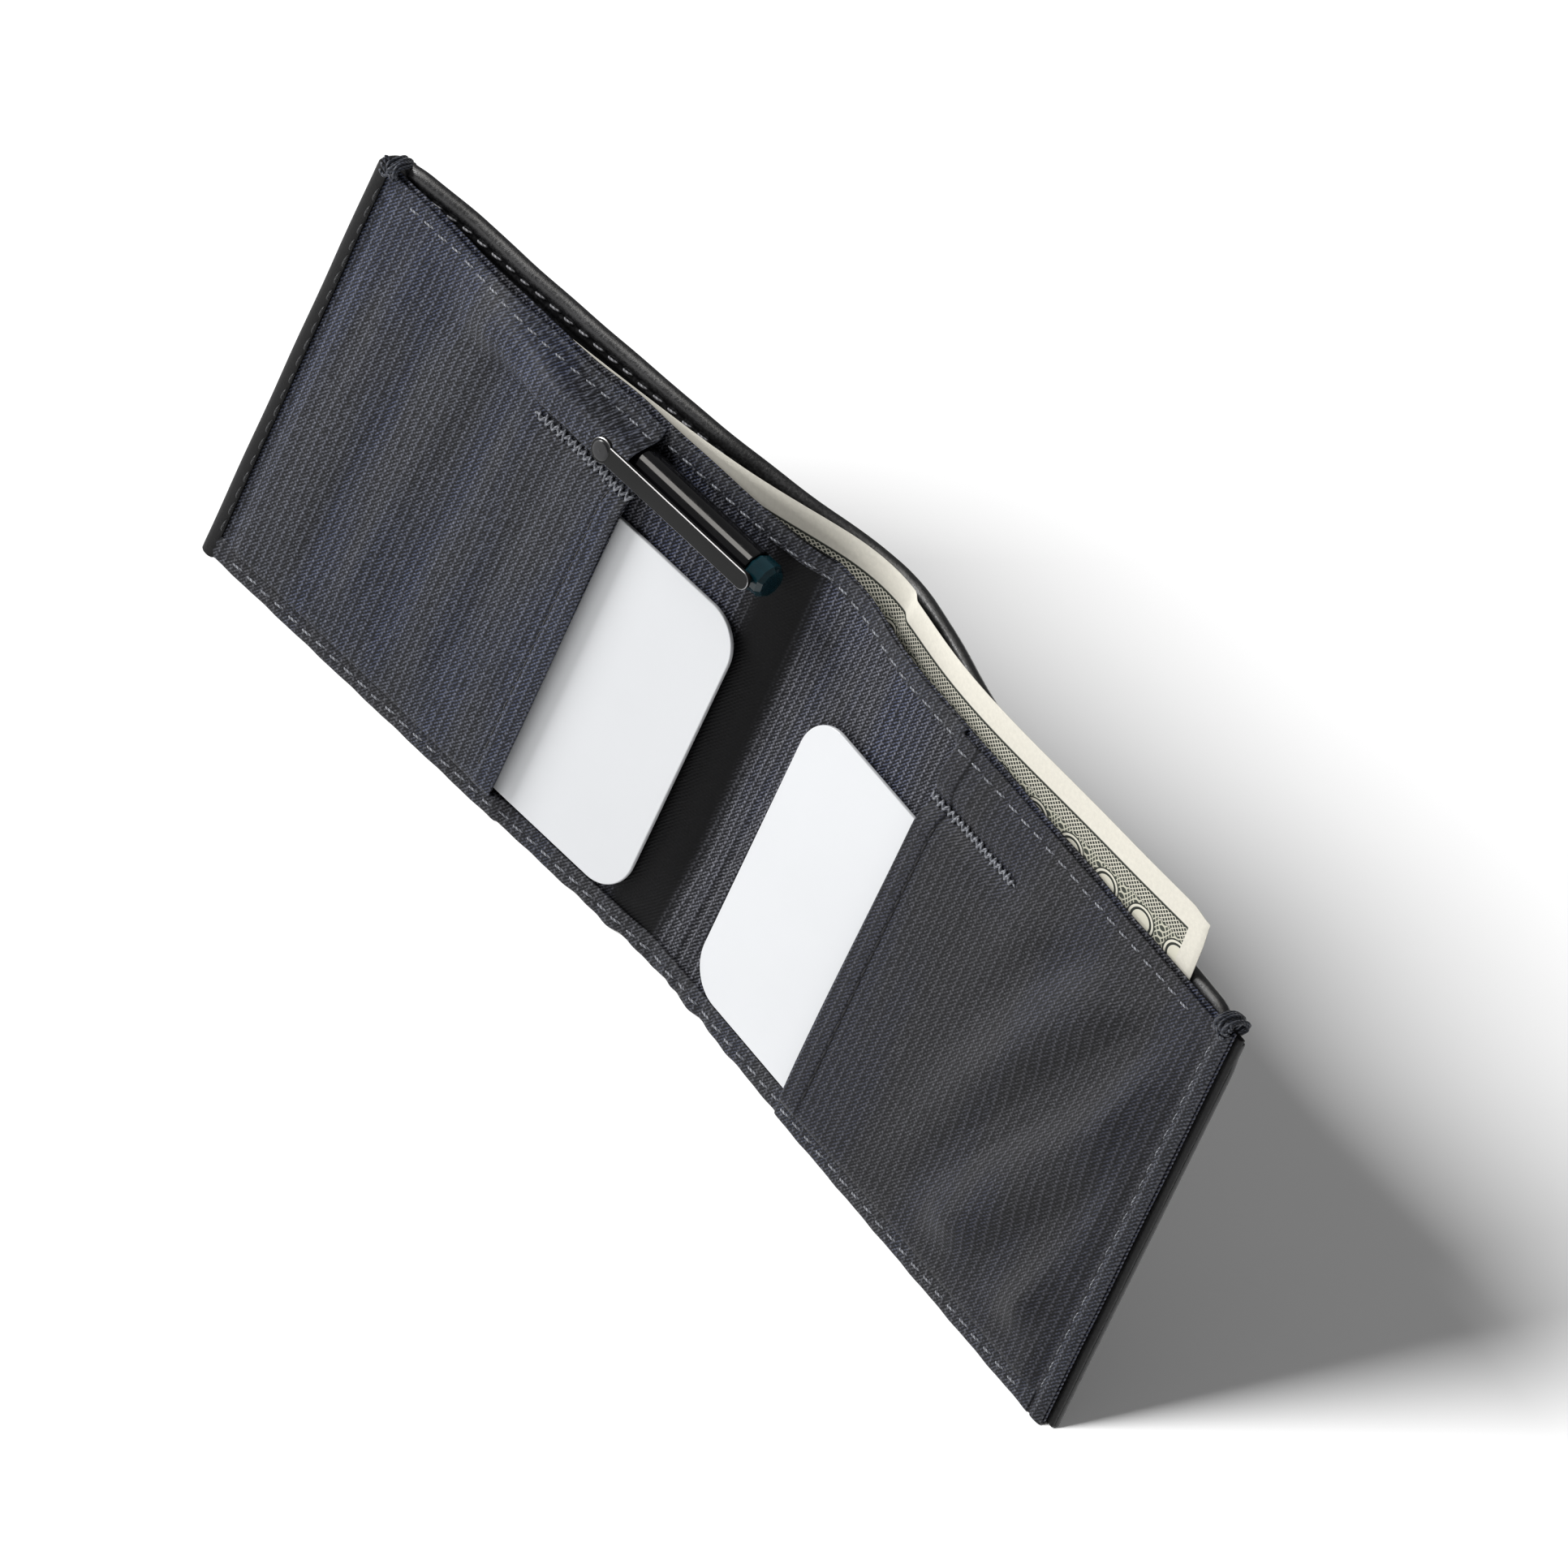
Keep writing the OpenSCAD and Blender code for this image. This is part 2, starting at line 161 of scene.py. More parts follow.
# ---------- mesh building
def new_object(name, data):
    """An object in the scene's own collection."""
    obj = bpy.data.objects.new(name, data)
    bpy.context.scene.collection.objects.link(obj)
    return obj


def new_mesh(name, verts, faces, flat, materials):
    """A smooth mesh. flat holds the coordinates that its material reads."""
    mesh = bpy.data.meshes.new(name)
    mesh.from_pydata(np.asarray(verts).tolist(), [], faces)
    attribute = mesh.attributes.new("flat", "FLOAT_VECTOR", "POINT")
    attribute.data.foreach_set("vector", np.asarray(flat, np.float32).ravel())
    for m in materials:
        mesh.materials.append(m)
    mesh.polygons.foreach_set("use_smooth", [True] * len(mesh.polygons))
    mesh.update()
    return new_object(name, mesh)


def place(obj, body, slot, *nodes):
    """A piece that rides on one body."""
    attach(obj, body)
    if nodes:
        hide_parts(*nodes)


def bend(obj, reach, slot, *nodes, a="left_half", b="right_half"):
    """Bakes a piece's transform into its mesh and hides the CAD nodes that it stands for. reach is not
    used.
    """
    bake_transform(obj)
    if nodes:
        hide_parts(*nodes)


def loft(name, front, back, materials):
    """A closed skin over rings whose points are given as a front list and a back list.

    front and back have the shape (rings, points, 3) and hold flat coordinates."""
    rings, m = front.shape[:2]
    ring = np.concatenate([front, back[:, ::-1]], 1)
    n = 2 * m
    i, j = np.meshgrid(np.arange(rings - 1), np.arange(n), indexing="ij")
    k = (j + 1) % n
    quads = np.stack([i * n + j, (i + 1) * n + j, (i + 1) * n + k, i * n + k], -1).reshape(-1, 4)
    j = np.arange(m - 1)
    first = np.stack([j, j + 1, n - 2 - j, n - 1 - j], -1)
    last = (first + (rings - 1) * n)[:, ::-1]
    faces = np.concatenate([quads, first, last]).tolist()
    points = ring.reshape(-1, 3)
    return new_mesh(name, world(*points.T), faces, points, materials)


def sheet(name, us, zs, face, thick, materials, shift=None):
    """A sheet with rounded edges. face(u, z) is the depth of its front face."""
    us, zs = rounded(us, thick), rounded(zs, thick)
    u, z = np.meshgrid(us, zs, indexing="ij")
    share = np.minimum.outer(edge_scale(us, thick), edge_scale(zs, thick))
    middle = face(u, z) + thick / 2
    if shift is not None:
        du, dz = shift(u, z)
        u, z = u + du, z + dz
    front = np.stack([u, middle - thick / 2 * share, z], -1)
    back = np.stack([u, middle + thick / 2 * share, z], -1)
    return loft(name, front, back, materials)


def bands(rings, n, base=0):
    """Quads between neighbouring rings of n points each."""
    faces = []
    for a in range(base, base + (rings - 1) * n, n):
        for j in range(n):
            k = (j + 1) % n
            faces.append((a + j, a + k, a + n + k, a + n + j))
    return faces


def tubes(name, paths, radius, materials, sides=7, taper=0.45):
    """Threads along paths of flat coordinates. taper is the share of the radius at both ends."""
    verts, faces, flat = [], [], []
    for number, path in enumerate(paths):
        centre = world(*path.T)
        along = np.gradient(centre, axis=0)
        along /= np.linalg.norm(along, axis=1)[:, None]
        side = np.cross(along, np.array([0.31, -0.9, 0.23]))
        side /= np.linalg.norm(side, axis=1)[:, None]
        up = np.cross(side, along)
        steps = np.r_[0, np.cumsum(np.linalg.norm(np.diff(centre, axis=0), axis=1))] * 1000
        t = np.linspace(0, 1, len(path))
        r = radius * 0.001 * (taper + (1 - taper) * np.sqrt(np.clip(np.sin(pi * t) * 1.6, 0, 1)))
        angle = np.arange(sides) * 2 * pi / sides
        base = len(verts)
        for c, s, v, q, length in zip(centre, side, up, r, steps):
            for a in angle:
                verts.append(c + q * (cos(a) * s + sin(a) * v))
                flat.append((length, a / (2 * pi), number))
        faces += bands(len(path), sides, base)
        faces.append(tuple(reversed(range(base, base + sides))))
        faces.append(tuple(range(len(verts) - sides, len(verts))))
    return new_mesh(name, verts, faces, flat, materials)


def stitches(starts, depth, level, lift, upright=False, length=STITCH_LEN, wander=0.07):
    """Paths of uneven stitches along u, or along z if upright. depth(u, z) is the face they lie on."""
    t = np.linspace(0, 1, 7)
    sway, growth, lean = (2.9, 1.3, 0.16) if upright else (2.4, 1.7, 0.22)
    paths = []
    for i, start in enumerate(starts):
        along = start + t * length * (1 + 0.08 * sin(i * growth))
        across = level + sin(i * sway) * wander + (t - 0.5) * lean
        line = np.full_like(along, level)
        face = depth(line, along) if upright else depth(along, line)
        d = face - lift * np.sin(pi * t) ** 0.6 + 0.12
        paths.append(np.stack([across, d, along] if upright else [along, d, across], -1))
    return paths


# ---------- shader building
class Shader:
    """Short names for the nodes that the materials use."""

    def __init__(self, name, roughness, specular=0.5, metallic=0.0, coat=0.0, sheen=0.0):
        self.material = bpy.data.materials.new(name)
        self.material.use_nodes = True
        self.tree = self.material.node_tree
        self.bsdf = self.tree.nodes["Principled BSDF"]
        self.set("Roughness", roughness)
        self.set("Specular IOR Level", specular)
        self.set("Metallic", metallic)
        self.set("Coat Weight", coat)
        self.set("Coat Roughness", 0.08)
        self.set("Sheen Weight", sheen)
        self.set("Sheen Roughness", 0.4)

    def set(self, socket, value):
        self.bsdf.inputs[socket].default_value = value

    def link(self, value, socket):
        self.tree.links.new(value, socket)

    def feed(self, sockets, values):
        """Links or sets each socket. A colour is given as three numbers."""
        for socket, value in zip(sockets, values):
            if isinstance(value, bpy.types.NodeSocket):
                self.link(value, socket)
            elif socket.type == "RGBA":
                socket.default_value = (*value, 1.0)
            else:
                socket.default_value = value

    def node(self, kind, **inputs):
        n = self.tree.nodes.new(kind)
        self.feed([n.inputs[key] for key in inputs], inputs.values())
        return n

    def position(self):
        """The object's own coordinates in metres."""
        return self.node("ShaderNodeTexCoord").outputs["Object"]

    def flat(self):
        """The mesh's flat coordinates."""
        n = self.tree.nodes.new("ShaderNodeAttribute")
        n.attribute_name = "flat"
        return n.outputs["Vector"]

    def split(self, vector):
        n = self.node("ShaderNodeSeparateXYZ", Vector=vector)
        return n.outputs["X"], n.outputs["Y"], n.outputs["Z"]

    def math(self, operation, a, b=0.0, clamp=False):
        n = self.tree.nodes.new("ShaderNodeMath")
        n.operation = operation
        n.use_clamp = clamp
        self.feed(n.inputs, (a, b))
        return n.outputs["Value"]

    def plus(self, a, b):
        return self.math("ADD", a, b)

    def times(self, a, b):
        return self.math("MULTIPLY", a, b)

    def sum(self, a, ka, b, kb):
        """ka * a + kb * b."""
        return self.plus(self.times(a, ka), self.times(b, kb))

    def wave(self, a, frequency):
        """A cosine of a, from 0 to 1."""
        turns = self.times(a, frequency * 2 * pi)
        return self.times(self.plus(self.math("COSINE", turns), 1.0), 0.5)

    def noise(self, vector, scale, detail=2.0, rough=0.5):
        """Noise, with its own scale in each direction."""
        scaled = self.node("ShaderNodeMapping", Vector=vector, Scale=scale).outputs["Vector"]
        n = self.node("ShaderNodeTexNoise", Vector=scaled, Scale=1.0, Detail=detail, Roughness=rough)
        return n.outputs["Fac"]

    def cells(self, vector, scale, feature="F1"):
        n = self.node("ShaderNodeTexVoronoi", Vector=vector, Scale=scale)
        n.feature = feature
        return n.outputs["Distance"]

    def fit(self, value, low, high, to_low=0.0, to_high=1.0):
        """Goes smoothly from to_low at low to to_high at high."""
        limits = {"From Min": low, "From Max": high, "To Min": to_low, "To Max": to_high}
        n = self.node("ShaderNodeMapRange", Value=value, **limits)
        n.interpolation_type = "SMOOTHSTEP"
        return n.outputs["Result"]

    def mix(self, factor, a, b):
        """Colour a at factor 0 and colour b at factor 1."""
        n = self.tree.nodes.new("ShaderNodeMix")
        n.data_type = "RGBA"
        self.feed([s for s in n.inputs if s.enabled], (factor, a, b))
        return [s for s in n.outputs if s.enabled][0]

    def colour(self, value):
        self.link(value, self.bsdf.inputs["Base Color"])

    def bump(self, height, distance, strength):
        """Relief of height, distance mm deep."""
        n = self.node("ShaderNodeBump", Height=height, Strength=strength, Distance=distance * 0.001)
        self.link(n.outputs["Normal"], self.bsdf.inputs["Normal"])


# ---------- materials
TWILL_ANGLE = radians(52)
RIB_PITCH = 0.5
STEP_PITCH = 0.62
COLUMN_PITCH = 1.7
BEAD_PITCH = 0.9
# Colour of the painted shade on the left slope of the fold
PAINTED_CREASE_SHADE = (0.0012, 0.0012, 0.0016)


def scaled(colour, k):
    """A colour k times as bright."""
    return tuple(k * x for x in colour)


def twill(name, light, dark, tint, crease=False):
    """Filament twill: fine diagonal ribs, bright floats, thin dark upright columns with bright
    beads beside them, and soft bands of tint.

    With crease, the left slope of the fold gets painted shade: its colour goes nearly black there."""
    s = Shader(name, 0.6, 0.14 if crease else 0.22, sheen=0.0 if crease else 0.04)
    flat = s.flat()
    u, _, z = s.split(flat)
    warp = s.times(s.plus(s.noise(flat, (0.12,) * 3), -0.5), 0.9)
    across = s.plus(s.sum(z, cos(TWILL_ANGLE), u, -sin(TWILL_ANGLE)), warp)
    along = s.sum(z, sin(TWILL_ANGLE), u, cos(TWILL_ANGLE))
    rib = s.wave(across, 1 / RIB_PITCH)
    step = s.wave(s.sum(along, 1.0, across, 0.55), 1 / STEP_PITCH)
    grain = s.noise(flat, (2.6, 2.6, 1.9))
    height = s.times(s.sum(rib, 0.82, step, 0.18), s.fit(grain, 0.25, 0.7, 0.5, 1.0))
    floats = s.times(s.fit(grain, 0.46, 0.62), s.times(rib, step))
    column = s.math("POWER", s.wave(u, 1 / COLUMN_PITCH), 8.0)
    beside = s.math("POWER", s.wave(s.plus(u, 0.45), 1 / COLUMN_PITCH), 9.0)
    beads = s.times(beside, s.wave(s.sum(z, 1.0, u, 0.6), 1 / BEAD_PITCH))
    bands = s.noise(flat, (0.085, 0.085, 0.012), 2.0, 0.55)
    patch = s.noise(flat, (0.04, 0.04, 0.03), 1.0)
    amount = s.fit(s.sum(bands, 0.7, patch, 0.3), 0.42, 0.6)
    pale = s.mix(amount, light, tint)
    body = s.mix(s.fit(height, 0.3, 0.75), dark, pale)
    body = s.mix(s.times(column, 0.85), body, dark)
    bright = s.math("ADD", s.times(floats, 0.4), s.times(beads, 0.42), clamp=True)
    colour = s.mix(bright, body, tuple(min(1.0, 3.6 * x) for x in light))
    if crease:
        # Painted shade: the left slope of the fold valley, turned away from the left light, is coloured
        # nearly black.
        beyond = s.plus(s.plus(u, s.times(z, 0.026)), 3.0)
        shade = s.times(s.fit(u, -17.5, -12.0), s.fit(beyond, 1.5, -1.6))
        colour = s.mix(shade, colour, PAINTED_CREASE_SHADE)
    s.colour(colour)
    s.bump(s.sum(height, 1.0, floats, 0.3), 0.08, 0.8)
    return s.material


def leather(name, base, grain_size, roughness, gloss):
    """Black leather with a fine pebbled grain, pores and faint drag lines."""
    s = Shader(name, roughness, gloss, coat=0.06)
    flat = s.flat()
    pebble = s.cells(flat, 1 / grain_size, "SMOOTH_F1")
    fine = s.cells(flat, 2.3 / grain_size)
    lines = s.noise(flat, (0.5, 1.2, 2.6), 4.0, 0.65)
    tone = s.noise(flat, (0.05, 0.05, 0.09), 3.0)
    worn = s.times(s.fit(tone, 0.3, 0.75), s.fit(pebble, 0.2, 0.7))
    s.colour(s.mix(worn, scaled(base, 0.6), scaled(base, 1.7)))
    height = s.sum(s.times(pebble, fine), 1.2, lines, 0.5)
    rough = s.fit(s.sum(pebble, 0.6, tone, 0.4), 0.25, 0.75, roughness - 0.07, roughness + 0.12)
    s.link(rough, s.bsdf.inputs["Roughness"])
    s.bump(height, 0.08, 0.45)
    return s.material


def thread(name, pale, dark):
    """Two-ply twisted thread."""
    s = Shader(name, 0.5, 0.35, sheen=0.2)
    length, angle, _ = s.split(s.flat())
    ply = s.wave(s.sum(length, 1.25, angle, 2.0), 1.0)
    fuzz = s.noise(s.flat(), (4.0, 3.0, 1.7))
    own = s.noise(s.flat(), (0.0, 0.0, 0.77), 0.0)
    shade = s.times(s.fit(ply, 0.1, 0.7), s.fit(s.sum(fuzz, 0.5, own, 0.5), 0.3, 0.65, 0.35, 1.0))
    s.colour(s.mix(shade, dark, pale))
    s.bump(ply, 0.08, 0.8)
    return s.material


def card_plastic(name, base):
    """Blank satin card plastic, with a faint mottle and a fine grain."""
    s = Shader(name, 0.38, 0.35, coat=0.1)
    flat = s.flat()
    mottle = s.noise(flat, (0.05,) * 3)
    grain = s.noise(flat, (5.0,) * 3)
    s.colour(s.mix(s.fit(mottle, 0.3, 0.7), scaled(base, 0.985), base))
    s.bump(grain, 0.01, 0.25)
    return s.material


def paper_money(name):
    """Cream banknote paper, with a plain margin and a generic engraved guilloche border."""
    s = Shader(name, 0.78, 0.2)
    p, q, _ = s.split(s.flat())
    cream = (0.655, 0.63, 0.555)
    ink = (0.028, 0.032, 0.026)
    fibre = s.noise(s.flat(), (1.4,) * 3, 4.0, 0.7)
    paper = s.mix(s.fit(fibre, 0.3, 0.75), scaled(cream, 0.9), cream)
    margin, cell_len = 3.7, 9.2
    inside = s.times(s.fit(q, margin, margin + 0.2), s.fit(p, 152.0, 151.8))
    inside = s.times(inside, s.fit(p, 4.0, 4.2))
    both = (1.0, -1.0)
    net = [s.fit(s.wave(s.sum(p, 0.8, q, k), 1 / 0.75), 0.72, 0.9) for k in both]
    swirl = s.times(s.math("SINE", s.times(p, 0.95)), 1.6)
    knotwork = [s.fit(s.wave(s.sum(q, 1.0, swirl, k), 1 / 1.05), 0.7, 0.9) for k in both]
    net, knotwork = s.math("MAXIMUM", *net), s.math("MAXIMUM", *knotwork)
    cell = s.plus(s.math("FRACT", s.math("DIVIDE", p, cell_len)), -0.5)
    wide = s.math("POWER", s.times(cell, cell_len / 3.4), 2.0)
    high = s.math("POWER", s.times(s.plus(q, -9.3), 1 / 2.6), 2.0)
    oval = s.math("SQRT", s.plus(wide, high))
    rings = s.wave(oval, 3.6)
    medal = s.fit(oval, 1.02, 0.96)
    heart = s.fit(oval, 0.62, 0.56)
    pattern = s.mix(s.fit(q, 6.2, 6.5), s.mix(net, ink, (0.55, 0.53, 0.45)),
                    s.mix(knotwork, (0.05, 0.055, 0.045), (0.5, 0.49, 0.4)))
    medallion = s.mix(s.fit(rings, 0.45, 0.62), ink, (0.64, 0.62, 0.53))
    medallion = s.mix(heart, medallion, (0.62, 0.60, 0.50))
    pattern = s.mix(s.times(medal, s.fit(q, 6.3, 6.6)), pattern, medallion)
    edge = s.times(s.fit(q, margin, margin + 0.1), s.fit(q, 4.25, 4.1))
    pattern = s.mix(edge, pattern, ink)
    s.colour(s.mix(inside, paper, pattern))
    s.bump(s.sum(fibre, 1.0, inside, 0.4), 0.03, 0.5)
    return s.material


def lacquer(name, base, roughness):
    """Gloss lacquer with faint wear and dust."""
    s = Shader(name, roughness, 0.3, coat=0.3)
    position = s.position()
    dust = s.noise(position, (900.0,) * 3, 3.0)
    wear = s.noise(position, (60.0, 300.0, 300.0))
    s.colour(s.mix(s.fit(wear, 0.45, 0.8), base, tuple(1.6 * x + 0.002 for x in base)))
    s.link(s.fit(dust, 0.35, 0.8, roughness, roughness + 0.12), s.bsdf.inputs["Roughness"])
    s.bump(wear, 0.01, 0.2)
    return s.material


def matte_coat(name, base, roughness):
    """Charcoal coating with a fine sprayed texture."""
    s = Shader(name, roughness, 0.22)
    position = s.position()
    spray = s.noise(position, (3500.0,) * 3)
    tone = s.noise(position, (120.0,) * 3)
    s.colour(s.mix(s.fit(tone, 0.3, 0.7), scaled(base, 0.85), scaled(base, 1.15)))
    s.bump(spray, 0.02, 0.4)
    return s.material


def metal(name, base, roughness):
    """Bright metal with fine brushing."""
    s = Shader(name, roughness, 0.5, metallic=1.0)
    position = s.position()
    brush = s.noise(position, (90.0, 4000.0, 4000.0))
    s.colour(s.mix(brush, scaled(base, 0.85), base))
    s.link(s.fit(brush, 0.2, 0.8, roughness - 0.04, roughness + 0.08), s.bsdf.inputs["Roughness"])
    s.bump(brush, 0.006, 0.3)
    return s.material


# The lining carries painted shade on the left slope of its fold (crease=True).
LINING = twill("lining_twill", (0.076, 0.077, 0.088), (0.004, 0.004, 0.0055),
               (0.058, 0.071, 0.130), crease=True)
POCKET = twill("pocket_twill", (0.054, 0.057, 0.070), (0.003, 0.003, 0.0045),
               (0.042, 0.055, 0.108))
# Painted shade: a darker, less blue copy of the pocket twill for the right pocket, which the left light
# reaches less.
RIGHT_POCKET_SHADED = twill("right_pocket_twill", (0.034, 0.034, 0.039), (0.0025, 0.0025, 0.0035),
                     (0.029, 0.033, 0.056))
HEM_TWILL = twill("hem_twill", (0.047, 0.048, 0.054), (0.004, 0.004, 0.0055),
                  (0.035, 0.042, 0.070))
SHELL = leather("shell_leather", (0.009, 0.009, 0.010), 0.42, 0.38, 0.5)
TURNED = leather("turned_leather", (0.005, 0.005, 0.0055), 0.42, 0.55, 0.22)
PALE_THREAD = thread("pale_thread", (0.30, 0.31, 0.34), (0.06, 0.063, 0.075))
FACING_THREAD = thread("facing_thread", (0.34, 0.34, 0.36), (0.11, 0.11, 0.12))
DARK_THREAD = thread("dark_thread", (0.035, 0.036, 0.040), (0.006, 0.006, 0.007))
SEAM_THREAD = thread("seam_thread", (0.010, 0.010, 0.013), (0.003, 0.003, 0.004))
TACK_THREAD = thread("bar_tack_thread", (0.27, 0.28, 0.31), (0.11, 0.115, 0.13))
KNOT_THREAD = thread("knot_thread", (0.040, 0.046, 0.064), (0.008, 0.009, 0.014))
CARD = card_plastic("card", (0.625, 0.635, 0.65))
MONEY = paper_money("banknote")
PEN_GLOSS = lacquer("pen_gloss", (0.002, 0.002, 0.0025), 0.06)
PLUG_TEAL = lacquer("pen_plug", (0.002, 0.016, 0.022), 0.12)
CLIP_COAT = matte_coat("pen_clip", (0.005, 0.005, 0.005), 0.55)
DISC_COAT = lacquer("pen_disc", (0.004, 0.004, 0.005), 0.3)
SILVER = metal("clip_chamfer", (0.33, 0.33, 0.34), 0.3)
REFILL = metal("refill", (0.5, 0.5, 0.52), 0.3)


# ---------- shape of the wallet
def gape(u, z):
    """How far the leather stands behind its sewn level."""
    reach = np.where(u < 0, 27.0, 32.0)
    rise = np.clip((z - BINDING_H) / (WALLET_H - BINDING_H), 0, 1) ** 0.68
    return (GAPE_EVEN * (1 - np.abs(u) / HALF_W) + GAPE_FOLD * bell(u, 0, reach)) * rise


def behind(level):
    """Depth of a face of the leather that is sewn at the given level."""
    return lambda u, z: level + gape(u, z)


def lining_face(u, z):
    """Depth of the lining's front face: a valley at the fold, ridges beside it, slack cloth."""
    lean = 2.4 * bell(u, 1.5, 12) * np.clip(z / 77, 0, 1) ** 2
    start = -2.4 - 2.0 * z / 77
    deep = 2.7 - 1.0 * ramp(z, 52, 74)
    valley = deep * np.exp(-np.sqrt((u - start) ** 2 + 0.35) / 5.0) * (0.12 + 0.88 * ramp(z, 4, 24))
    ridges = 0.3 * np.sin(2 * pi * (u - 0.02 * z) / 2.9) * ramp(u, -1.5, 1.5) * ramp(u, 8.5, 5)
    ridges = ridges * ramp(z, 58, 20) * (0.3 + 0.7 * ramp(z, 2, 8))
    slack = 0.10 * np.sin(u / 3.1 + z / 9.0) * np.sin(z / 7.3) * ramp(np.abs(u), 8, 14)
    top = 0.12 * np.sin(u / 4.7) * ramp(z, 60, 76)
    return lean + valley - ridges + slack + top


def pocket_v(u, z, mouth, pen):
    """Level of a pocket's inner face in front of the lining, for u from the fold outward."""
    card_zone = ramp(z, 67, 59)
    body = (0.75 + 0.6 * card_zone + 0.9 * ramp(u, mouth + 26, mouth)) * ramp(z, 3.6, CARD_Z - 0.3)
    body = body * (0.25 + 0.75 * ramp(z, LINING_H, 68))
    tack_end = mouth + DIVIDER_LEN
    pinned = 0.85 * bell(z, DIVIDER_Z - pen, 2.2) * ramp(u, tack_end + 5, tack_end - 4)
    end = PEN_U + PEN_LEN
    peak = (PEN_V + PEN_R + 0.15) * (1 - 0.3 * ramp(u, end - 12, end)) * ramp(u, end + 24, end - 1)
    wide = 3.75 + 1.3 * ramp(u, end - 16, end + 10)
    swell = peak * np.exp(-np.abs((z - PEN_Z) / wide) ** (5.0 - 2.6 * ramp(u, end - 16, end + 6)))
    v = body * (1 - pinned)
    v = v + pen * (np.maximum(swell - v, 0) + 0.12 * swell * bell(swell - v, 0, 0.6))
    return 0.02 + v * ramp(u, 104.4, 99.6)


def pocket_waves(u, z, side):
    """Soft folds of the pocket cloth. They run along the bias on the right, upright on the left."""
    room = ramp(z, 7, 16) * ramp(z, 74, 66) * ramp(u, 101, 94)
    if side > 0:
        slant = 0.87 * u - 0.49 * z
        wave = (0.95 + 1.6 * np.sin(2 * pi * slant / 18.5 + 0.6)) * ramp(u, 54, 76) * ramp(z, 73, 58)
        small = 0.10 * np.sin(2 * pi * (0.8 * u - 0.6 * z) / 7.3) * ramp(u, 58, 78)
        return (wave + small) * room
    wave = 0.34 * np.sin(2 * pi * u / 15.5 + 0.9 + z / 60) * ramp(u, 46, 60)
    small = 0.07 * np.sin(2 * pi * (u + 0.1 * z) / 6.1)
    return (wave + small) * room


def pocket_face(side):
    """Depth of the pocket's front face, for the signed u."""
    mouth = LEFT_MOUTH if side < 0 else RIGHT_MOUTH
    pen = 1 if side < 0 else 0

    def face(u, z):
        a = np.abs(u)
        v = pocket_v(a, z, mouth, pen) + 0.35 + np.maximum(pocket_waves(a, z, side), -0.34)
        low = ramp(z, 3.5, 5.0)
        hem = 0.30 * ramp(a, mouth + 4.5, mouth + 3.8) * low
        groove = 0.30 * bell(a, mouth + 4.1, 0.28) * ramp(z, 5, 8) * ramp(z, 72, 70)
        row = 0.16 * bell(z, TOP_ROW, 0.5)
        return -(np.maximum(v, 0.02) + hem - groove - row) - CLOTH + 0.02

    return face


def note_face(u, z):
    """Depth of the banknote: it stands off behind the lining at the fold and has one crease."""
    up = np.clip(z / 77, 0, 1.15)
    stand = 4.7 * bell(u, 0, 20) * up ** 0.7 + 2.0 * bell(u, 2, 34) * up ** 1.6
    crease = -1.1 * ramp(u, 7.2, 10.2) * bell(u, 9, 22) * up
    curl = 0.14 * np.sin(u / 8.0) * up * ramp(u, 84, 66)
    return 0.78 + stand + crease + curl


def lift_back(u, z):
    """Further room behind the left half's upper edge, where the leather bows out."""
    return 0.9 * ramp(u, -30, -50) * ramp(u, -101, -88) * ramp(z, 40, 77)


def lift_up(u):
    """How much higher the leather's edge stands on the left half."""
    return 0.85 * ramp(u, -12, -34) * ramp(u, -107.5, -104.5)


def sink(u, z):
    """How far the top edge of the cloth hangs down between the corner and the pen."""
    return 0.95 * ramp(u, -44, -58) * ramp(u, -98, -80) * ramp(z, 74.6, 77.2)


# ---------- leather
def leather_shell():
    """The outer leather in one piece, turned over at the top into a padded bead."""
    us = spans((-LINING_W, -30, 1.4), (-29, 29, 0.7), (30, HALF_W, 1.4))
    us = rounded(us, LEATHER)
    low = spread(0.5, 72.6, 1.5)
    # (depth, height) of the inner and the outer skin, from the bottom up over the bead
    inner = [(0.0, 0.35)] + [(0.0, z) for z in low]
    inner += [(0.0, 73.9), (-0.15, 74.4), (-0.5, 74.8), (-0.62, 75.2), (-0.48, 75.6), (-0.52, 75.9)]
    inner += [(-0.8, 76.2), (-0.92, 76.6), (-0.9, 77.3), (-0.66, 77.95), (-0.1, 78.45)]
    outer = [(1.0, 0.35)] + [(1.0, z) for z in low]
    outer += [(1.0, 73.5), (1.0, 74.0), (1.02, 74.4), (0.92, 74.8), (0.92, 75.05), (1.1, 75.4)]
    outer += [(1.45, 75.9), (1.75, 76.5), (1.75, 77.3), (1.35, 78.1), (0.6, 78.55)]
    share = edge_scale(us, LEATHER)[:, None]

    def skin(profile):
        d, z = np.array(profile).T
        u, zz = np.meshgrid(us, z, indexing="ij")
        a = np.abs(u)
        dents = 0.10 * np.sin(u / 5.3 + 1.0) * np.sin(zz / 11) + 0.06 * np.sin(u / 2.3) * ramp(zz, 70, 77)
        dents = dents * ramp(zz, 6, 16) * ramp(a, 92, 76)
        flattened = d[None] + (np.clip(d, 0, LEATHER)[None] - d[None]) * ramp(a, 102.0, 105.0)
        middle = SHELL_D + gape(u, zz) + LEATHER / 2 + lift_back(u, zz)
        depth = middle + (flattened - LEATHER / 2) * share + dents
        corner = ramp(a, 99.5, 106.4) * ramp(zz, 70, 77) * np.where(u < 0, 0.35, 1.0)
        high = zz + (0.15 * np.sin(u / 9) + lift_up(u)) * ramp(zz, 60, 77) - 2.0 * corner
        return np.stack([u, depth - 0.45 * corner, high], -1)

    shell = loft("leather_shell", skin(inner), skin(outer), [SHELL])
    bend(shell, SHELL_REACH, "shell_leather", "left_shell", "right_shell", "left_shell_facing",
         "right_shell_facing")


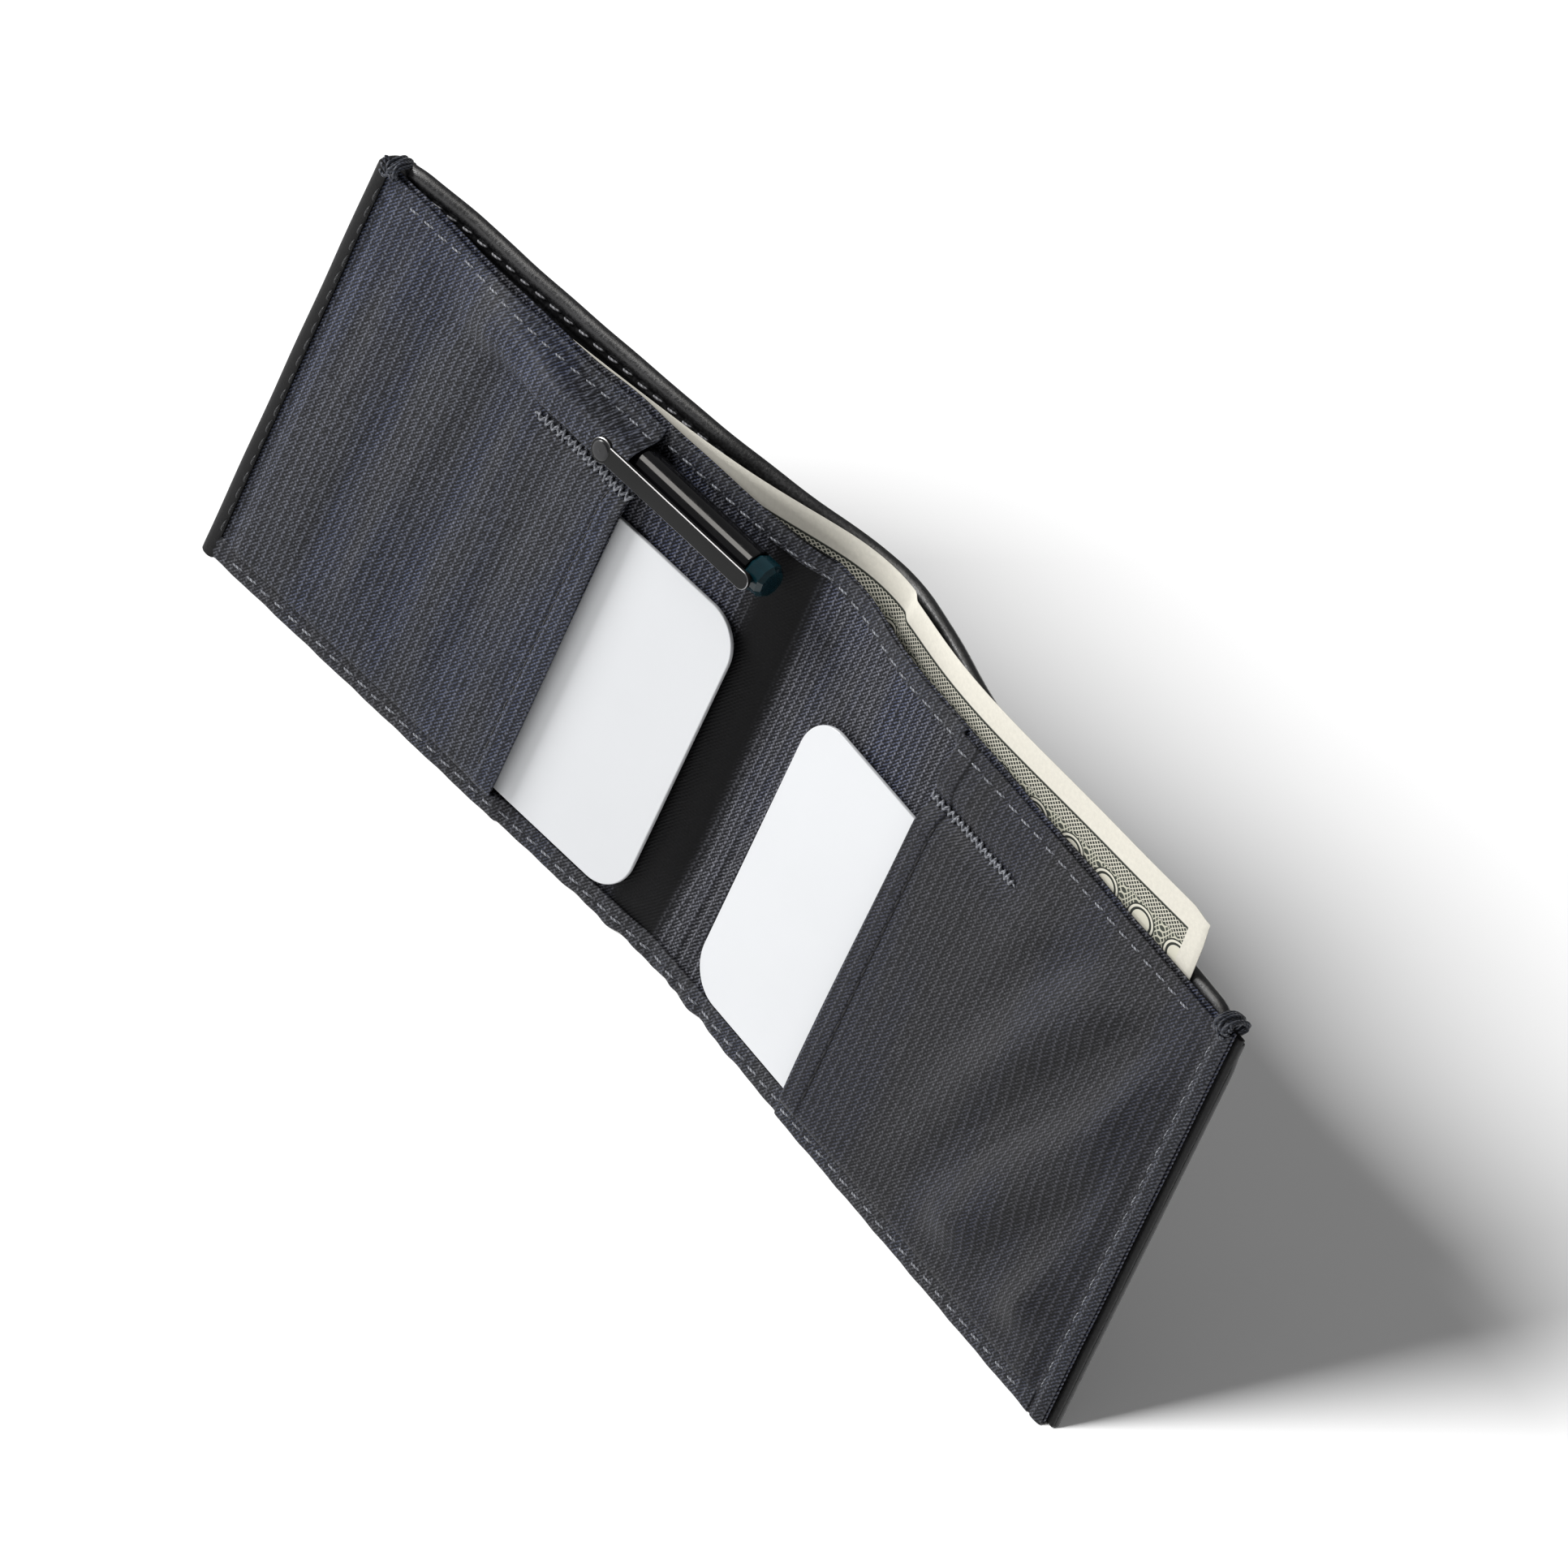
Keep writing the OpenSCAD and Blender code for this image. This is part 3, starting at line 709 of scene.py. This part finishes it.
def facing_seam():
    """The stitches under the bead, on the leather's inside, and the outer side of both long seams."""
    lift = 0.34
    starts = [-100.5 + i * STITCH_PITCH for i in range(60)]
    inner = stitches(starts, lambda u, z: 1.02 + gape(u, z) + lift_back(u, z), FACING_ROW, lift)
    for path in inner:
        path[:, 2] += lift_up(path[:, 0])
    row = tubes("facing_stitches", inner, 0.19, [FACING_THREAD])
    bend(row, SHELL_REACH, "dark_thread", "left_facing_stitches", "right_facing_stitches")
    outer = stitches(starts, lambda u, z: 2.42 + gape(u, z) + lift_back(u, z), OUTER_ROW, -lift)
    bend(tubes("outer_top_stitches", outer, 0.22, [DARK_THREAD]), SHELL_REACH, "dark_thread")
    outer = stitches(starts, behind(2.24), BOTTOM_ROW, -lift)
    bend(tubes("outer_bottom_stitches", outer, 0.22, [DARK_THREAD]), SHELL_REACH, "dark_thread")


def turned_edges():
    """Leather turned in between the lining and the shell, at the bottom and the outer ends."""
    us = spans((-LINING_W, -12, 3), (-11, 11, 1), (12, LINING_W, 3))
    strip = sheet("turned_bottom", us, spread(0.25, 4.1, 0.6), lambda u, z: 0.62 + 0 * u, 0.82, [TURNED])
    bend(strip, CLOTH_REACH, "turned_leather")
    for side, name in ((-1, "left"), (1, "right")):
        reach = LINING_W + (0.55 if side < 0 else 1.15)
        ends = np.sort(side * spread(LINING_W - HEM, reach, 0.5))
        end = sheet(f"{name}_turned_end", ends, spread(0.3, LINING_H - 0.3, 1.6),
                    lambda u, z: 0.53 + 0.03 * np.sin(z / 3), 1.05, [TURNED])
        place(end, f"{name}_half", "turned_leather", f"{name}_turned_edge")


def end_stitches(depth, u, lift):
    """The upright stitches along an outer end."""
    starts = [5.2 + i * STITCH_PITCH for i in range(21)]
    return stitches(starts, depth, u, lift, upright=True, wander=0.06)


def edge_wrap():
    """The leather strip round the left outer end, and the stitches along both ends."""
    front_d, back_d, t = -1.42, 3.45, 0.85
    inner_u = HALF_W - 3.0
    # (u, depth) of its outer face, from the front edge round the end to the back edge
    line = [(inner_u, front_d + 0.42), (inner_u + 0.12, front_d + 0.12), (inner_u + 0.5, front_d)]
    for u in spread(inner_u + 0.9, 106.9, 0.5):
        line.append((u, front_d - 0.14 * sin(pi * (u - inner_u) / 2.6)))
    middle_d, half_d = (front_d + back_d) / 2, (back_d - front_d) / 2
    for a in np.radians(spread(-90, 90, 18)):
        line.append((106.95 + 0.85 * cos(a), middle_d + half_d * sin(a)))
    line += [(u, back_d + 0.12) for u in spread(106.6, 101.5, 0.8)]
    line = np.array(line)
    tangent = np.gradient(line, axis=0)
    normal = np.stack([tangent[:, 1], -tangent[:, 0]], -1)
    normal /= np.linalg.norm(normal, axis=1)[:, None]
    share = edge_scale(np.linspace(0, 20, len(line)), 2.0)[:, None]
    inside = line - normal * t * share
    zs = rounded(spread(0.0, LINING_H + 0.1, 1.3), t)
    taper = 1 - 0.35 * (1 - edge_scale(zs, t))

    def skin(points):
        u = -np.tile(points[:, 0], (len(zs), 1))
        d = np.tile(points[:, 1], (len(zs), 1)) + 0.07 * np.sin(zs / 3.7)[:, None]
        z = np.tile(zs[:, None], (1, len(points)))
        middle = -105.0
        return np.stack([middle + (u - middle) * taper[:, None], d, z], -1)

    wrap = loft("left_edge_wrap_leather", skin(line), skin(inside), [TURNED])
    place(wrap, "left_half", "shell_leather", "left_edge_wrap")
    rows = (("left_side_thread", lambda u, z: front_d - 0.02 + 0 * z, -(inner_u + 0.3), 0.3,
             ["left_side_stitches"]),
            ("outer_left_stitches", lambda u, z: back_d + 0 * z, -103.3, -0.36, []),
            ("outer_right_stitches", behind(2.45), 103.6, -0.36, []))
    for name, depth, u, lift, nodes in rows:
        row = tubes(name, end_stitches(depth, u, lift), 0.2, [DARK_THREAD])
        place(row, "left_half" if u < 0 else "right_half", "dark_thread", *nodes)


# ---------- cloth
def lining():
    """The lining, and between the pockets its folded top hem with its stitches."""
    near_fold = (-29.3, 29.3, 0.55)
    us = spans((-LINING_W, -30, 1.6), near_fold, (30, LINING_W, 1.6))
    zs = spread(0.2, LINING_H, 0.9)
    cloth = sheet("lining", us, zs, lining_face, CLOTH - 0.05, [LINING], lambda u, z: (0 * u, -sink(u, z)))
    hems = spans((-LEFT_MOUTH + 0.4, -30, 1.0), near_fold, (30, RIGHT_MOUTH - 0.4, 1.0))

    def hem_face(u, z):
        lip = 0.16 * np.sin(pi * np.clip((z - 74.1) / 3.3, 0, 1)) - 0.20 * bell(z, TOP_ROW, 0.45)
        return lining_face(u, z) - 0.52 - lip

    def ripple(u, z):
        dz = 0.10 * np.sin(u / 2.6) * ramp(z, 76, 77.3) + 0.05 * np.sin(u / 1.1) * ramp(z, 75, 74.1)
        return 0 * u, dz

    hem = sheet("lining_top_hem", hems, spread(LINING_H - TOP_HEM, LINING_H - 0.15, 0.4), hem_face, 0.5,
                [HEM_TWILL], ripple)
    starts = [-38.6 + i * STITCH_PITCH for i in range(22)]
    row = tubes("lining_stitches_middle", stitches(starts, hem_face, TOP_ROW, 0.24), 0.18, [PALE_THREAD])
    bend(cloth, CLOTH_REACH, "lining_twill", "left_lining", "right_lining")
    bend(hem, CLOTH_REACH, "hem_twill", "left_lining_hem", "right_lining_hem")
    bend(row, CLOTH_REACH, "pale_thread")
    return cloth, hem


def bottom_binding():
    """The binding along the bottom: puckered near the fold, with a step over each pocket."""
    us = spans((-LINING_W, -45, 1.2), (-44.5, 44.5, 0.45), (45, LINING_W - 3.1, 1.2))

    def face(u, z):
        a = np.abs(u)
        mouth = np.where(u < 0, LEFT_MOUTH, RIGHT_MOUTH)
        step = 0.56 * ramp(a, mouth - 1.9, mouth - 1.1)
        near = ramp(a, 24, 8)
        pucker = near * (0.30 * np.sin(u / 1.05) * np.sin(z / 1.4 + 0.6) + 0.2 * np.sin(u / 2.7))
        roll = 0.28 * np.sin(pi * np.clip(z / BINDING_H, 0, 1)) - 0.2 * bell(z, BOTTOM_ROW, 0.4)
        valley = lining_face(u, np.full_like(z, 3.0)) * ramp(a, 20, 14)
        return valley - 0.56 - step - roll - pucker * 0.6

    def wavy(u, z):
        a = np.abs(u)
        near = 0.25 + 0.75 * ramp(a, 30, 8)
        low = ramp(z, 3.5, 0.2)
        return 0 * u, low * near * (0.28 + 0.22 * np.sin(u / 1.7) + 0.12 * np.sin(u / 0.83))

    binding = sheet("bottom_binding", us, spread(0.05, BINDING_H, 0.4), face, 0.55, [HEM_TWILL], wavy)
    bend(binding, CLOTH_REACH, "hem_twill", "left_bottom_binding", "right_bottom_binding")
    starts = [-100.8 + i * STITCH_PITCH for i in range(61)]
    row = tubes("bottom_stitches", stitches(starts, face, BOTTOM_ROW, 0.25), 0.19, [PALE_THREAD])
    bend(row, CLOTH_REACH, "pale_thread", "left_bottom_stitches", "right_bottom_stitches")


def pocket(side, name):
    """A pocket sheet with the hem behind its mouth, its seams, stitches and bar tack."""
    mouth = LEFT_MOUTH if side < 0 else RIGHT_MOUTH
    half = f"{name}_half"
    us = spans((mouth, mouth + 6, 0.28), (mouth + 6.7, LINING_W, 0.75))
    us = np.sort(side * us)
    zs = spans((0.35, 60, 0.8), (60.5, LINING_H - 0.4, 0.4))
    face = pocket_face(side)
    # The right pocket gets the copy of the twill with painted shade.
    twill_cloth = POCKET if side < 0 else RIGHT_POCKET_SHADED

    def corner(u, z):
        a = np.abs(u)
        pull = 0.5 * ramp(a, mouth + 3, mouth) * bell(z, DIVIDER_Z, 2.0)
        ease = 0.35 * np.sin(z / 12.0) * ramp(a, mouth + 4, mouth) * ramp(z, 5, 12)
        return side * (pull - ease * 0.5), -sink(u, z)

    cloth = sheet(f"{name}_pocket_cloth", us, zs, face, CLOTH, [twill_cloth], corner)
    place(cloth, half, "lining_twill", f"{name}_pocket")
    turned = sheet(f"{name}_pocket_turning", np.sort(side * spread(mouth + 0.3, mouth + HEM, 0.5)),
                   spread(CARD_Z, DIVIDER_Z - 4, 1.2), lambda u, z: face(u, z) + 0.98, 0.3, [twill_cloth])
    place(turned, half, "lining_twill", f"{name}_pocket_hem")
    zs = [7.5 + i * 2.75 for i in range(20)]
    paths = stitches(zs, face, side * (mouth + 4.1), 0.16, upright=True, length=2.5, wander=0.02)
    seam = tubes(f"{name}_mouth_seam", paths, 0.2, [SEAM_THREAD])
    place(seam, half, "dark_thread", f"{name}_pocket_stitches")
    first = mouth + 0.7
    count = int((100.5 - first) / STITCH_PITCH)
    row = []
    for i in range(count):
        u0 = first + i * STITCH_PITCH
        row.append(min(side * u0, side * (u0 + STITCH_LEN)))
    threads = tubes(f"{name}_top_stitches", stitches(row, face, TOP_ROW, 0.24), 0.18, [PALE_THREAD])
    place(threads, half, "pale_thread", f"{name}_lining_stitches")
    tack = zigzag(side, mouth, face)
    place(tubes(f"{name}_bar_tack_thread", tack, 0.24, [TACK_THREAD], 6, 0.8), half, "bar_tack_thread",
          f"{name}_bar_tack")
    return cloth


def zigzag(side, mouth, face):
    """The dense zig-zag seam that closes the card pocket, with uneven bites.

    The left one runs just under the swell that the pen makes."""
    level = DIVIDER_Z if side > 0 else DIVIDER_Z - 2.0
    paths = []
    count = 34
    pitch = (DIVIDER_LEN - 0.6) / count
    for i in range(count):
        u0 = mouth + 0.4 + i * pitch
        wide = 0.62 + 0.16 * sin(i * 2.3) + 0.08 * sin(i * 5.1)
        lean = 0.34 if i % 2 else -0.34
        t = np.linspace(-1, 1, 6)
        u = side * (u0 + lean * t)
        z = level + wide * t + 0.1 * sin(i * 1.9)
        d = face(u, z) - 0.26 * (1 - t * t) - 0.14
        paths.append(np.stack([u, d, z], -1))
    t = np.linspace(0, 1, 60)
    u = side * (mouth + 0.3 + t * DIVIDER_LEN)
    z = level + 0.1 * np.sin(t * 60)
    paths.append(np.stack([u, face(u, z) - 0.1, z], -1))
    return paths


def right_hem():
    """The twill hem over the right outer end, with its stitched groove."""
    inner = LINING_W - 3.2

    def face(u, z):
        t = np.clip((np.abs(u) - inner) / (LINING_W - inner), 0, 1)
        roll = 0.30 * np.sin(pi * t) ** 0.7 - 0.24 * bell(np.abs(u), inner + 0.6, 0.35)
        return -0.56 - 0.5 - roll + 0.06 * np.sin(z / 2.9)

    us, zs = spread(inner, LINING_W + 0.1, 0.2), spread(0.2, LINING_H - 0.2, 0.8)
    hem = sheet("right_edge_hem_twill", us, zs, face, 0.55, [HEM_TWILL])
    place(hem, "right_half", "hem_twill", "right_edge_hem")
    row = tubes("right_side_thread", end_stitches(face, inner + 0.6, 0.2), 0.15, [PALE_THREAD])
    place(row, "right_half", "pale_thread", "right_side_stitches")


def corner_knot(side, name):
    """Thread wound over the top corner, with a loose end pulled through it."""
    paths = []
    turns = 7 if side < 0 else 9
    wide = 2.3 if side < 0 else 3.0
    for i in range(turns):
        t = np.linspace(0, 2 * pi, 22)
        lump = 1 + 0.12 * sin(i * 2.1)
        slant = 0.5 * sin(i * 1.3)
        u = 103.2 + i * wide / turns + slant * np.sin(t) * 0.5 + 0.12 * np.sin(3 * t + i)
        d = 0.85 + 2.3 * lump * np.cos(t)
        z = 77.75 + 1.25 * lump * np.sin(t) + 0.1 * np.cos(2 * t + i)
        paths.append(np.stack([side * u, d, z], -1))
    t = np.linspace(0, 1, 16)
    for k in range(4):
        u = 103.0 + 3.4 * t + 0.3 * np.sin(6 * t + k)
        d = -1.2 + 0.25 * k * np.sin(3 * t)
        z = 76.5 + 0.75 * k * (0.4 + 0.6 * t) + 0.35 * np.sin(pi * t * 2 + k)
        paths.append(np.stack([side * u, d - 0.3, z], -1))
    knot = tubes(f"{name}_corner_thread", paths, 0.3, [KNOT_THREAD], 8, 0.8)
    place(knot, f"{name}_half", "knot_thread", f"{name}_corner_knot")


# ---------- cards and banknote
def card(side, name, free_u):
    """A blank card with round corners and a softened edge."""
    width, height, thick = CARD_SIZE
    r = CARD_ROUND
    outline = []
    centres = ((width - r, r), (width - r, height - r), (r, height - r), (r, r))
    for quarter, (cx, cz) in enumerate(centres):
        for a in np.radians(np.linspace(90 * quarter - 90, 90 * quarter, 15)):
            outline.append((cx + r * cos(a), cz + r * sin(a), cos(a), sin(a)))
    outline = np.array(outline)
    n = len(outline)
    rings = []
    softened = ((0.16, 0.0), (0.04, 0.05), (0.0, 0.15))
    levels = list(softened) + [(inset, thick - depth) for inset, depth in reversed(softened)]
    for inset, depth in levels:
        x = outline[:, 0] - inset * outline[:, 2]
        z = outline[:, 1] - inset * outline[:, 3]
        rings.append(np.stack([side * (free_u + x), np.full(n, -0.32 - depth), CARD_Z + z], -1))
    points = np.concatenate(rings)
    last = len(levels) - 1
    faces = [tuple(range(n)), tuple(reversed(range(last * n, (last + 1) * n)))]
    for k in range(last):
        for j in range(n):
            i = (j + 1) % n
            faces.append((k * n + j, (k + 1) * n + j, (k + 1) * n + i, k * n + i))
    if side < 0:
        faces = [f[::-1] for f in faces]
    piece = new_mesh(f"{name}_blank_card", world(*points.T), faces, points, [CARD])
    for polygon in piece.data.polygons:
        polygon.use_smooth = polygon.index > 1  # the two faces stay flat
    place(piece, f"{name}_card", "card", f"{name}_card")


def banknote():
    """The note in one sheet. Its pattern runs in the note's own directions."""
    tilt = radians(4.25)
    length, height, thick = 156.0, 66.3, 0.12
    left = 63.0  # the note's length on the left of the fold
    top = 80.85  # the height of its upper edge at the fold
    ps = spans((0, 36, 1.5), (36.8, 92, 0.8), (93, length, 1.5))
    ps, qs = rounded(ps, thick), rounded(spread(0, height, 1.1), thick)
    p, q = np.meshgrid(ps, qs, indexing="ij")
    nick = 0.7 * ramp(p, length - 5, length) * ramp(q, 5, 0)
    u = (p - left) * cos(tilt) + q * sin(tilt) - 0.35 * nick
    z = top + (p - left) * sin(tilt) - q * cos(tilt) - nick
    d = note_face(u, z)
    half = thick / 2 * np.minimum.outer(edge_scale(ps, thick), edge_scale(qs, thick))
    front = np.stack([u, d - half, z], -1)[:, ::-1]
    back = np.stack([u, d + half, z], -1)[:, ::-1]
    note = loft("banknote", front, back, [MONEY])
    own = np.stack([p, q, 0 * p], -1)[:, ::-1]
    values = np.concatenate([own, own[:, ::-1]], 1).reshape(-1, 3)
    note.data.attributes["flat"].data.foreach_set("vector", values.astype(np.float32).ravel())
    bend(note, NOTE_REACH, "banknote", "banknote_left", "banknote_right", a="note_left", b="note_right")


# ---------- pen
def pen_frame():
    """Directions of the pen: along it towards its tip, forward out of the wallet, and up."""
    a = world(-PEN_U, -PEN_V, PEN_Z)
    b = world(-PEN_U - 10, -PEN_V, PEN_Z)
    along = (b - a) / np.linalg.norm(b - a)
    up = np.array([0.0, 0.0, 1.0])
    out = np.cross(up, along)
    return a, along, -out if out[1] > 0 else out, up


def revolve(profile, sides, centre, axis, x, y, closed, twist=0.0):
    """Points, faces and flat coordinates of a profile of (length, radius) turned about an axis.

    Everything is in mm; x and y are the directions across the axis."""
    verts, flat, faces = [], [], []
    n = len(profile)
    for s in range(sides):
        a = 2 * pi * s / sides + twist
        for length, r in profile:
            verts.append(centre + length * axis + r * (cos(a) * x + sin(a) * y))
            flat.append((length, a, r))
    for s in range(sides):
        t = (s + 1) % sides
        for j in range(n if closed else n - 1):
            k = (j + 1) % n
            faces.append((s * n + j, s * n + k, t * n + k, t * n + j))
    return verts, faces, flat


def turned_piece(name, profile, materials, sides, twist):
    """A solid turned about the pen's axis. profile is a closed line of (length, radius) in mm."""
    origin, along, out, up = pen_frame()
    verts, faces, flat = revolve(profile, sides, 0, along, out, up, True, twist)
    piece = new_mesh(name, origin + 0.001 * np.array(verts), faces, flat, materials)
    piece.data.validate()
    return piece


def smooth_sharp(obj, degrees):
    """Smooth faces with sharp edges where the surface turns."""
    bpy.context.view_layer.objects.active = obj
    obj.select_set(True)
    bpy.ops.object.shade_smooth_by_angle(angle=radians(degrees))
    obj.select_set(False)


def pen():
    """The barrel, the nose, the refill, the faceted end plug and the clip."""
    bore = PEN_R - 0.5
    end = PEN_LEN - 12
    barrel = [(4.0, bore), (4.0, PEN_R - 0.15), (4.15, PEN_R), (33.0, PEN_R), (33.1, PEN_R - 0.1),
              (33.4, PEN_R - 0.1), (33.5, PEN_R), (end - 0.15, PEN_R), (end, PEN_R - 0.15), (end, bore)]
    nose = [(end + 0.05, 1.0), (end + 0.05, PEN_R - 0.1), (end + 0.2, PEN_R - 0.02), (end + 3, PEN_R - 0.3),
            (end + 7, 2.55), (end + 11, 1.7), (end + 11.8, 1.35), (end + 12, 1.2), (end + 12, 1.0)]
    tube = [(7.0, 0.02), (7.0, 0.88), (PEN_LEN - 1.6, 0.88), (PEN_LEN - 0.4, 0.4), (PEN_LEN - 0.4, 0.02)]
    plug = [(0.0, 0.02), (0.0, 2.35), (0.75, 3.0), (3.4, 3.02), (3.95, 2.7), (3.95, 0.02)]
    # name, profile, material, sides, twist, angle that stays sharp, slot, node
    pieces = (("pen_barrel_lacquer", barrel, PEN_GLOSS, 48, 0.0, 35, "pen_gloss", "pen_barrel"),
              ("pen_nose_cone", nose, PEN_GLOSS, 48, 0.0, 25, "pen_gloss", "pen_nose"),
              ("pen_refill_tube", tube, REFILL, 24, 0.0, 35, "refill", "pen_refill"),
              ("pen_end_gem", plug, PLUG_TEAL, 10, 0.2, 12, "pen_plug", "pen_end_plug"))
    for name, profile, material, sides, twist, sharp, slot, node in pieces:
        piece = turned_piece(name, profile, [material], sides, twist)
        smooth_sharp(piece, sharp)
        place(piece, "pen", slot, node)
    clip()


def clip():
    """The flat clip: round root, straight bar, round disc end, with a bright chamfer."""
    origin, along, out, up = pen_frame()
    bar, disc, length = 1.55, 2.1, 36.0  # half widths of the bar and the disc, and the length
    root_x, disc_x = 1 + bar, 1 + length - disc
    neck = sqrt(disc * disc - bar * bar)
    sweep = np.radians(np.linspace(90, 270, 25))
    outline = [(root_x + bar * cos(a), bar * sin(a)) for a in sweep]
    outline += [(x, -bar) for x in spread(4, disc_x - neck, 4)]
    turn = atan2(bar, neck)
    sweep = np.linspace(-pi + turn, pi - turn, 41)
    outline += [(disc_x + disc * cos(a), disc * sin(a)) for a in sweep]
    outline += [(x, bar) for x in spread(disc_x - neck, 4, 4)]
    line = np.array(outline)
    keep = np.r_[True, np.linalg.norm(np.diff(line, axis=0), axis=1) > 0.02]
    line = line[keep]
    tangent = np.roll(line, -1, 0) - np.roll(line, 1, 0)
    normal = np.stack([tangent[:, 1], -tangent[:, 0]], -1)
    normal /= np.linalg.norm(normal, axis=1)[:, None]
    if np.sum(normal[:, 1] * line[:, 1]) < 0:
        normal = -normal
    low = PEN_R + 0.9
    # (inset, level) from the underside to the top; the third band is the bright chamfer
    levels = [(0.12, low), (0.0, low + 0.12), (0.0, low + 0.69), (0.12, low + 0.81), (0.25, low + 0.83)]
    chamfer = 2
    verts, flat = [], []
    n = len(line)
    for inset, level in levels:
        for (x, h), (nx, nh) in zip(line, normal):
            a, b = x - inset * nx, h - inset * nh
            verts.append(origin + 0.001 * (a * along + level * out + b * up))
            flat.append((a, level, b))
    faces = bands(len(levels), n)
    kinds = [1 if i // n == chamfer else 0 for i in range(len(faces))] + [0, 0]
    faces += [tuple(reversed(range(n))), tuple(range(len(verts) - n, len(verts)))]
    piece = new_mesh("pen_clip_bar", verts, faces, flat, [CLIP_COAT, SILVER])
    piece.data.polygons.foreach_set("material_index", kinds)
    smooth_sharp(piece, 25)
    place(piece, "pen", "pen_clip", "pen_clip")
    post = [(0.0, 0.02), (0.0, 0.9), (0.9, 0.75), (0.95, 0.75), (0.95, 0.02)]
    verts, faces, flat = revolve(post, 20, root_x * along + PEN_R * out, out, along, up, False)
    piece = new_mesh("pen_clip_post", origin + 0.001 * np.array(verts), faces, flat, [CLIP_COAT])
    place(piece, "pen", "pen_clip")
    top = levels[-1][1]
    dome = [(top, 1.66), (top + 0.12, 1.6), (top + 0.2, 1.3), (top + 0.24, 0.8), (top + 0.25, 0.05)]
    sides, m = 40, len(dome)
    verts, faces, flat = revolve(dome, sides, disc_x * along, out, along, up, False)
    faces.append(tuple(s * m for s in reversed(range(sides))))
    faces.append(tuple(s * m + m - 1 for s in range(sides)))
    piece = new_mesh("pen_clip_badge", origin + 0.001 * np.array(verts), faces, flat, [DISC_COAT])
    place(piece, "pen", "pen_disc", "pen_clip_disc")


# ---------- stage
AZIMUTH = radians(35.28)
ELEVATION = radians(31.94)
ROLL = radians(25.55)
DISTANCE = 3.5
FRAME_WIDTH = 0.23955


def camera():
    """A long lens from the front right, rolled so that the wallet leans across the frame."""
    right = Vector((cos(AZIMUTH), sin(AZIMUTH), 0))
    forward = Vector((-sin(AZIMUTH) * cos(ELEVATION), cos(AZIMUTH) * cos(ELEVATION),
                      -sin(ELEVATION)))
    up = right.cross(forward)
    x = cos(ROLL) * right + sin(ROLL) * up
    y = -sin(ROLL) * right + cos(ROLL) * up
    target = Vector((0, SPINE_Y * 0.001 - 0.00082, 0.040)) + 0.00522 * x - 0.00154 * y
    data = bpy.data.cameras.new("camera")
    data.sensor_width = 36
    data.lens = 36 * DISTANCE / FRAME_WIDTH
    data.clip_start = 0.1
    data.clip_end = 20
    obj = new_object("camera", data)
    basis = Matrix((x, y, -forward)).transposed().to_4x4()
    obj.matrix_world = Matrix.Translation(target - forward * DISTANCE) @ basis
    bpy.context.scene.camera = obj


def floor():
    """White paper under the wallet."""
    s = Shader("floor_paper", 0.9, 0.1)
    position = s.position()
    mottle = s.noise(position, (30.0,) * 3)
    s.colour(s.mix(mottle, (0.88, 0.88, 0.88), (0.90, 0.90, 0.90)))
    size = 3.0
    mesh = bpy.data.meshes.new("floor")
    corners = [(-size, -size, 0), (size, -size, 0), (size, size, 0), (-size, size, 0)]
    mesh.from_pydata(corners, [], [(0, 1, 2, 3)])
    mesh.materials.append(s.material)
    obj = new_object("floor", mesh)
    return obj


def area_light(name, azimuth, elevation, distance, size, power, colour=(1, 1, 1)):
    """A soft box aimed at the wallet. Azimuth 0 is in front of it, and negative is to its left."""
    a, e = radians(azimuth), radians(elevation)
    away = Vector((sin(a) * cos(e), -cos(a) * cos(e), sin(e)))
    data = bpy.data.lights.new(name, "AREA")
    data.shape = "RECTANGLE"
    data.size, data.size_y = size
    data.energy = power
    data.color = colour
    obj = new_object(name, data)
    obj.location = Vector((0, 0, 0.03)) + away * distance
    obj.rotation_mode = "QUATERNION"
    obj.rotation_quaternion = away.to_track_quat("Z", "Y")
    return obj


def lights(ground):
    """The front light makes only the floor's shadow; the left one and a reflector light the rest."""
    world_data = bpy.data.worlds.new("studio")
    bpy.context.scene.world = world_data
    world_data.use_nodes = True
    background = world_data.node_tree.nodes["Background"]
    background.inputs["Color"].default_value = (1.0, 1.0, 1.0, 1.0)
    background.inputs["Strength"].default_value = 0.24
    front = area_light("front_softbox", -7, 32, 4.0, (1.1, 1.375), 350.0)
    left = area_light("left_softbox", -60, 24, 1.3, (0.55, 0.5), 21.5)
    only_floor = bpy.data.collections.new("floor_only")
    only_floor.objects.link(ground)
    all_but_floor = bpy.data.collections.new("all_but_floor")
    all_but_floor.objects.link(ground)
    front.light_linking.receiver_collection = only_floor
    left.light_linking.receiver_collection = all_but_floor
    all_but_floor.collection_objects[0].light_linking.link_state = "EXCLUDE"
    reflector = area_light("reflector", -55, 53, 1.0, (0.6, 0.26), 3.0, (1.0, 0.97, 0.92))
    shiny = ("pen_barrel_lacquer", "pen_nose_cone", "pen_end_gem", "pen_clip_bar", "leather_shell")
    glossy = bpy.data.collections.new("pen_and_leather")
    for obj in bpy.data.objects:
        if obj.name.startswith(shiny):
            glossy.objects.link(obj)
    reflector.light_linking.receiver_collection = glossy


# ---------- build
leather_shell()
facing_seam()
turned_edges()
edge_wrap()
lining_cloth, lining_hem = lining()
bottom_binding()
left_cloth = pocket(-1, "left")
right_cloth = pocket(1, "right")
right_hem()
corner_knot(-1, "left")
corner_knot(1, "right")
card(-1, "left", 11.8)
card(1, "right", 6.6)
banknote()
pen()

camera()
lights(floor())
bpy.context.scene.view_settings.view_transform = "Standard"
bpy.context.scene.view_settings.look = "None"
